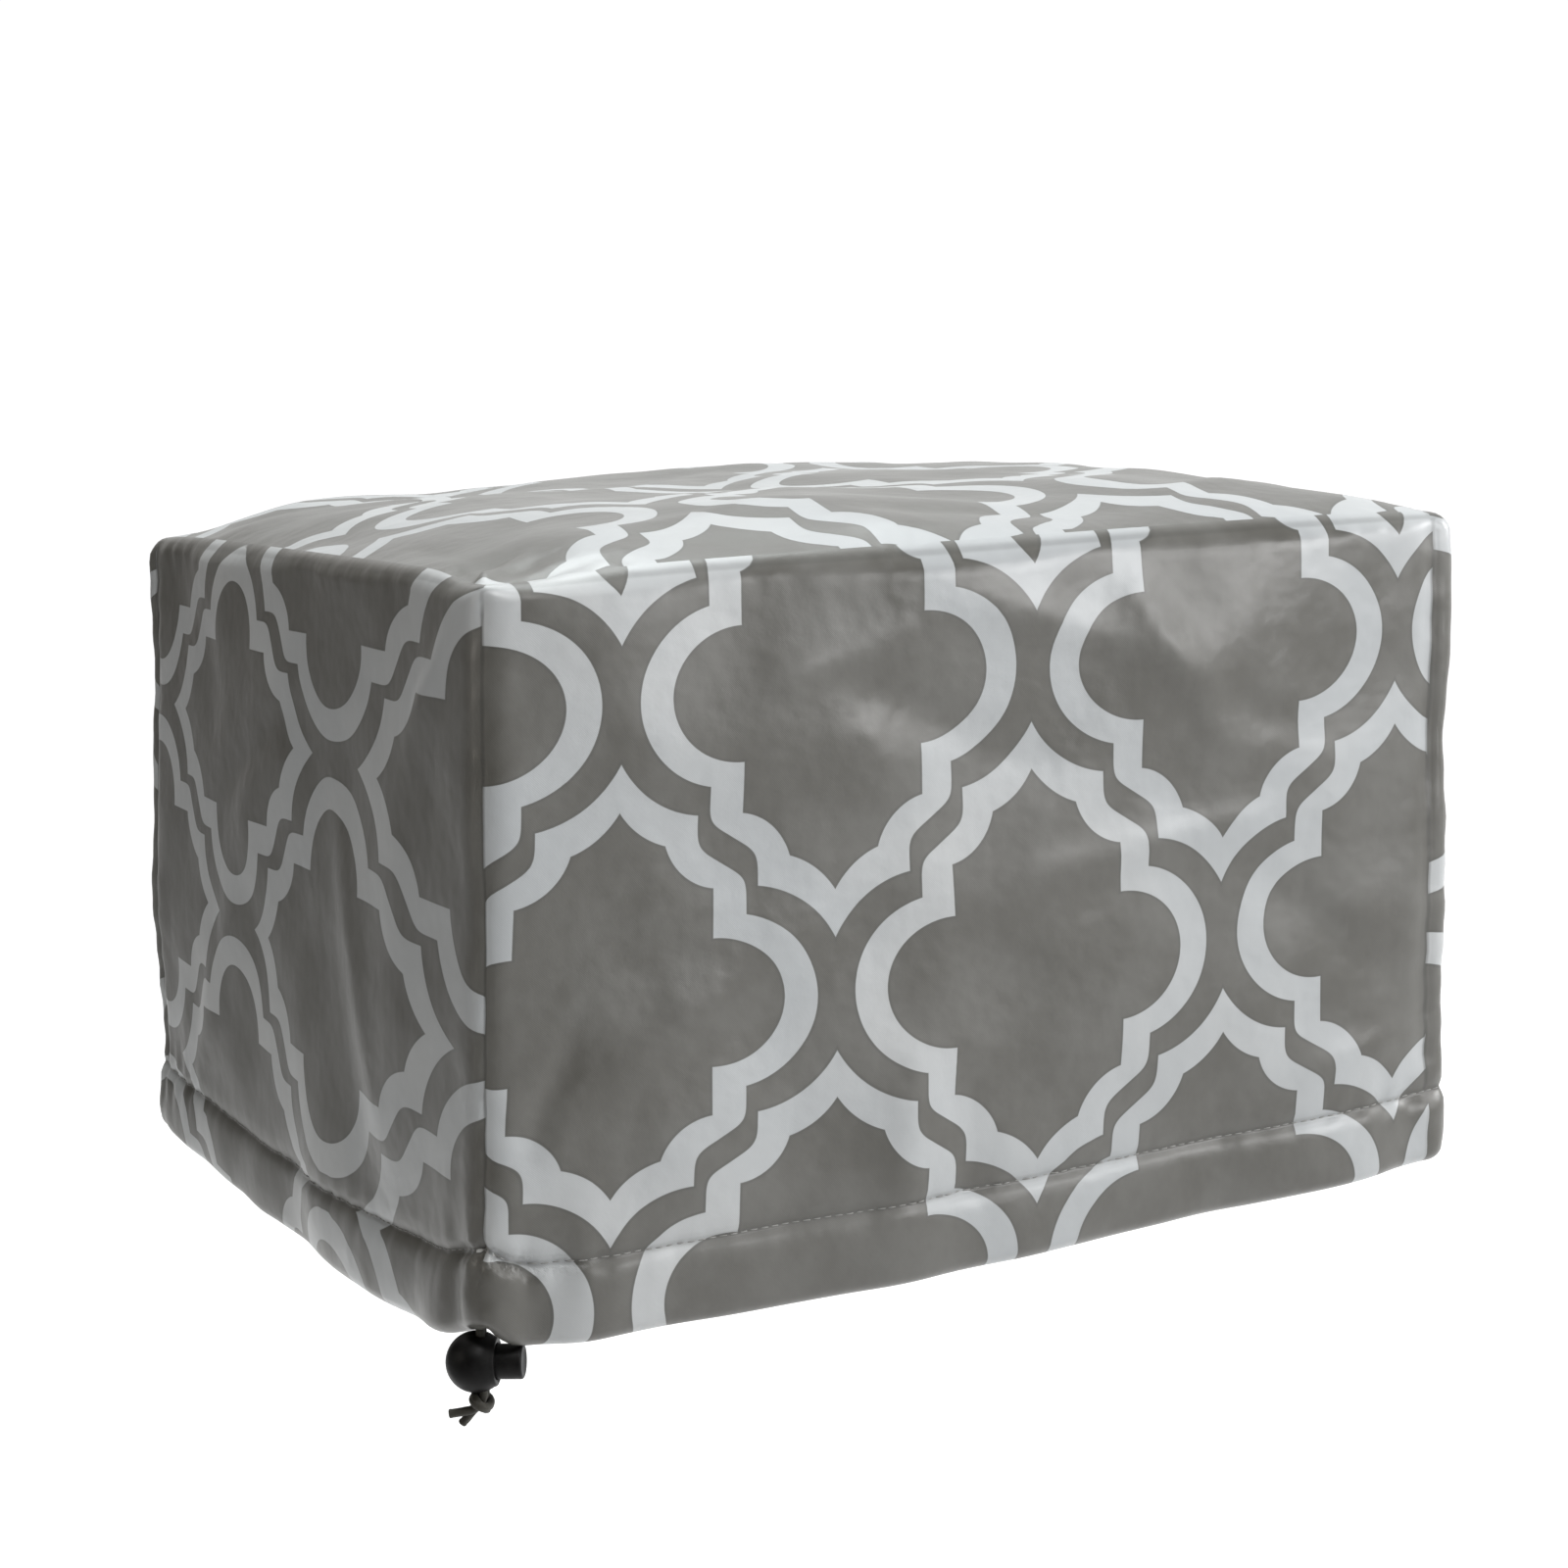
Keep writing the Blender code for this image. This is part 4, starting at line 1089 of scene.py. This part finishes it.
def gap_line(n, name, low, high):
    """1 on a line that the mesh stores its distance from, and 0 past it."""
    return n.ramp(n.stored(name), low, high, 1.0, 0.0)


def make_printed_cloth():
    """Coated cloth: grey ground, pale bands, a fine weave and soft creases, with painted shade in its
    seams, stitch line and folds.
    """
    material, n, shader, place = new_material("printed_coated_cloth")
    edge, print_place = trellis(n)
    mottle = n.noise(place, 34.0, 4.0, 0.6)
    cloudy = n.noise(place, 9.0, 3.0, 0.55)
    fine = n.noise(place, 900.0, 2.0, 0.5)
    ground = n.mix(n.ramp(mottle, 0.35, 0.68), (0.086, 0.083, 0.073, 1), (0.112, 0.110, 0.100, 1))
    line = n.math("MULTIPLY", n.ramp(edge, 0.0, 0.03), n.ramp(edge, 0.05, 0.11, 1.0, 0.0))
    ground = n.mix(n.math("MULTIPLY", line, 0.40), ground, (0.060, 0.060, 0.056, 1))
    band = n.mix(n.ramp(cloudy, 0.35, 0.68), (0.385, 0.402, 0.412, 1), (0.445, 0.457, 0.461, 1))
    colour = n.mix(n.ramp(edge, -0.012, 0.018), band, ground)
    # Painted shade: the seams, the stitch line and the bunched cloth by the near corner are darkened as
    # if shade fell in them
    seam = gap_line(n, "seam_gap", 0.0002, 0.0013)
    stitch = gap_line(n, "stitch_gap", 0.0002, 0.0016)
    seam = n.math("MULTIPLY", n.math("MULTIPLY", seam, n.stored("seam_shade_weight")), 0.55)
    groove = n.math("MAXIMUM", seam, n.math("MULTIPLY", stitch, 0.30))
    bunched = n.ramp(n.noise(place, 380.0, 3.0, 0.6), 0.40, 0.62, 0.10, 0.55)
    bunched = n.math("MULTIPLY", n.stored("tuck"), n.math("MAXIMUM", bunched, stitch))
    groove = n.math("MAXIMUM", groove, n.math("MULTIPLY", bunched, 0.62))
    # Near-black of the painted shade in the seams, stitches and folds
    colour = n.mix(groove, colour, (0.035, 0.034, 0.030, 1))
    rough = n.ramp(cloudy, 0.30, 0.70, 0.36, 0.50)
    rough = n.math("ADD", rough, n.ramp(mottle, 0.3, 0.7, -0.04, 0.05))
    shader.inputs["Specular IOR Level"].default_value = 0.65
    shader.inputs["Sheen Weight"].default_value = 0.06
    shader.inputs["Sheen Roughness"].default_value = 0.45
    shader.inputs["Coat Weight"].default_value = 0.16
    shader.inputs["Coat Roughness"].default_value = 0.30
    split = n.split(print_place)
    warp = n.math("SINE", n.math("MULTIPLY", split[0], 2 * math.pi / WEAVE_PITCH))
    weft = n.math("SINE", n.math("MULTIPLY", split[1], 2 * math.pi / WEAVE_PITCH))
    weave = n.math("MULTIPLY", warp, weft)
    normal = n.raised(n.noise(place, 30.0, 3.0, 0.50), 0.0022, 0.75)
    normal = n.raised(n.noise(place, 120.0, 3.0, 0.55), 0.00030, 0.50, normal)
    normal = n.raised(bunched, 0.0006, 0.80, normal)
    normal = n.raised(n.math("ADD", n.math("MULTIPLY", weave, 0.5), fine), 0.00005, 0.40, normal)
    dress(n, shader, colour, rough, normal)
    return material


def make_reverse():
    """The cloth's uncoated inner face, plain and woven."""
    material, n, shader, place = new_material("cloth_reverse")
    shade = n.noise(place, 60.0, 3.0, 0.6)
    colour = n.mix(shade, (0.40, 0.40, 0.39, 1), (0.48, 0.48, 0.47, 1))
    weave = n.raised(n.noise(place, 1400.0, 1.0, 0.5), 0.00006, 0.5)
    dress(n, shader, colour, n.ramp(shade, 0.3, 0.7, 0.70, 0.85), weave)
    return material


def make_thread():
    material, n, shader, place = new_material("sewing_thread")
    shader.inputs["Sheen Weight"].default_value = 0.3
    twist = n.noise(place, 5200.0, 2.0, 0.5)
    colour = n.mix(twist, (0.17, 0.168, 0.160, 1), (0.31, 0.308, 0.295, 1))
    rough = n.ramp(twist, 0.3, 0.7, 0.50, 0.70)
    dress(n, shader, colour, rough, n.raised(twist, 0.00004, 0.6))
    return material


def make_lock_plastic(name, shades):
    """Moulded black plastic with a faint spark-eroded grain and rubbed patches spread at random."""
    material, n, shader, place = new_material(name)
    grain = n.noise(place, 2600.0, 3.0, 0.6)
    wear = n.noise(place, 240.0, 4.0, 0.65)
    shader.inputs["Specular IOR Level"].default_value = 0.16
    colour = n.mix(n.ramp(wear, 0.42, 0.70), *shades)
    rough = n.ramp(wear, 0.3, 0.7, 0.40, 0.52)
    dress(n, shader, colour, rough, n.raised(grain, 0.00003, 0.35))
    return material


def make_cord():
    """Olive-black polyester braid."""
    material, n, shader, place = new_material("drawcord_braid")
    strands = n.noise(place, 2400.0, 3.0, 0.6)
    patch = n.noise(place, 420.0, 2.0, 0.5)
    colour = n.mix(strands, (0.007, 0.006, 0.004, 1), (0.044, 0.040, 0.026, 1))
    worn = n.ramp(patch, 0.4, 0.7, 0.0, 0.35)
    colour = n.mix(worn, colour, (0.020, 0.018, 0.012, 1))
    rough = n.ramp(strands, 0.3, 0.7, 0.58, 0.80)
    shader.inputs["Sheen Weight"].default_value = 0.12
    shader.inputs["Sheen Roughness"].default_value = 0.5
    dress(n, shader, colour, rough, n.raised(strands, 0.00010, 0.7))
    return material


def make_floor():
    material, n, shader, place = new_material("glowing_studio_floor")
    shade = n.noise(place, 3.0, 2.0, 0.5)
    n.put(shader.inputs["Base Color"], n.mix(shade, (0.36, 0.36, 0.36, 1), (0.38, 0.38, 0.38, 1)))
    shader.inputs["Roughness"].default_value = 0.9
    shader.inputs["Specular IOR Level"].default_value = 0.0
    # Painted light: the floor glows white, dimmer out to the cover's left and towards its front, and so
    # lights the cover as a lamp would
    shader.inputs["Emission Color"].default_value = (1.0, 1.0, 1.0, 1.0)
    split = n.split(place)
    beside = n.ramp(split[0], -0.60, -0.20, 0.12, 1.0)
    before = n.ramp(split[1], -0.55, 0.02, 0.45, 0.92)
    n.put(shader.inputs["Emission Strength"], n.math("MULTIPLY", beside, before))
    return material


def build_floor():
    shape = bmesh.new()
    rim = []
    for angle in np.linspace(0, 2 * math.pi, 97)[:-1]:
        place = (FLOOR_RADIUS * math.cos(angle), FLOOR_RADIUS * math.sin(angle), FLOOR_LEVEL)
        rim.append(shape.verts.new(place))
    shape.faces.new(rim)
    floor = finish_mesh("glowing_studio_floor", shape, make_floor())


def add_area(name, place, aim, size, power, colour):
    light = bpy.data.lights.new(name, "AREA")
    light.shape = "RECTANGLE"
    light.size, light.size_y = size
    light.energy = power
    light.color = colour
    lamp = place_object(name, light)
    lamp.location = place
    lamp.rotation_euler = (Vector(aim) - Vector(place)).to_track_quat("-Z", "Y").to_euler()


def light_studio():
    """White surroundings, dimmer on the cover's left and front, and the soft boxes."""
    world = bpy.data.worlds.new("studio")
    world.use_nodes = True
    n = Nodes(world.node_tree)
    split = n.split(n.add("ShaderNodeTexCoord").outputs["Generated"])
    left = n.ramp(split[0], -0.32, 0.16)
    front = n.ramp(split[1], -0.50, 0.32, 0.16, 1.0)
    around = world.node_tree.nodes["Background"]
    n.put(around.inputs["Strength"], n.math("MULTIPLY", front, n.ramp(left, 0.0, 1.0, 0.06, 1.05)))
    n.put(around.inputs["Color"], n.mix(left, (1.0, 0.90, 0.80, 1), (1.0, 1.0, 1.0, 1)))
    bpy.context.scene.world = world
    for name, (place, aim, size, power, colour) in SOFTBOXES.items():
        add_area(name, place, aim, size, power, colour)
    bpy.context.scene.view_settings.view_transform = "Standard"


def place_camera():
    camera = bpy.data.cameras.new("photo_camera")
    camera.lens = CAMERA_LENS
    camera.sensor_width = 36.0
    viewer = place_object("photo_camera", camera)
    viewer.location = CAMERA_PLACE
    viewer.rotation_euler = [math.radians(a) for a in CAMERA_TURN]
    bpy.context.scene.camera = viewer


def main():
    place_camera()
    braid = make_cord()
    lock_body = build_lock_body(make_lock_plastic("lock_plastic", BODY_SHADES))
    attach(lock_body, "cover")
    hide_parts("cord_lock_body")
    button = build_lock_button(make_lock_plastic("button_plastic", BUTTON_SHADES))
    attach(button, "button")
    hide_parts("cord_lock_button")
    knot = build_knot(braid)
    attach(knot, "cover")
    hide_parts("drawcord_knot")
    for number, tail in enumerate(TAILS, 1):
        strand, route = build_strand(number, tail, braid)
        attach(strand, "cover")
        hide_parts(f"drawcord_strand_{number}")
    cover = build_sheet(make_printed_cloth(), make_reverse())
    stitches = build_stitches(make_thread())
    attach(cover, "cover")
    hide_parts("cover_cloth")
    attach(stitches, "cover")
    build_floor()
    light_studio()


main()
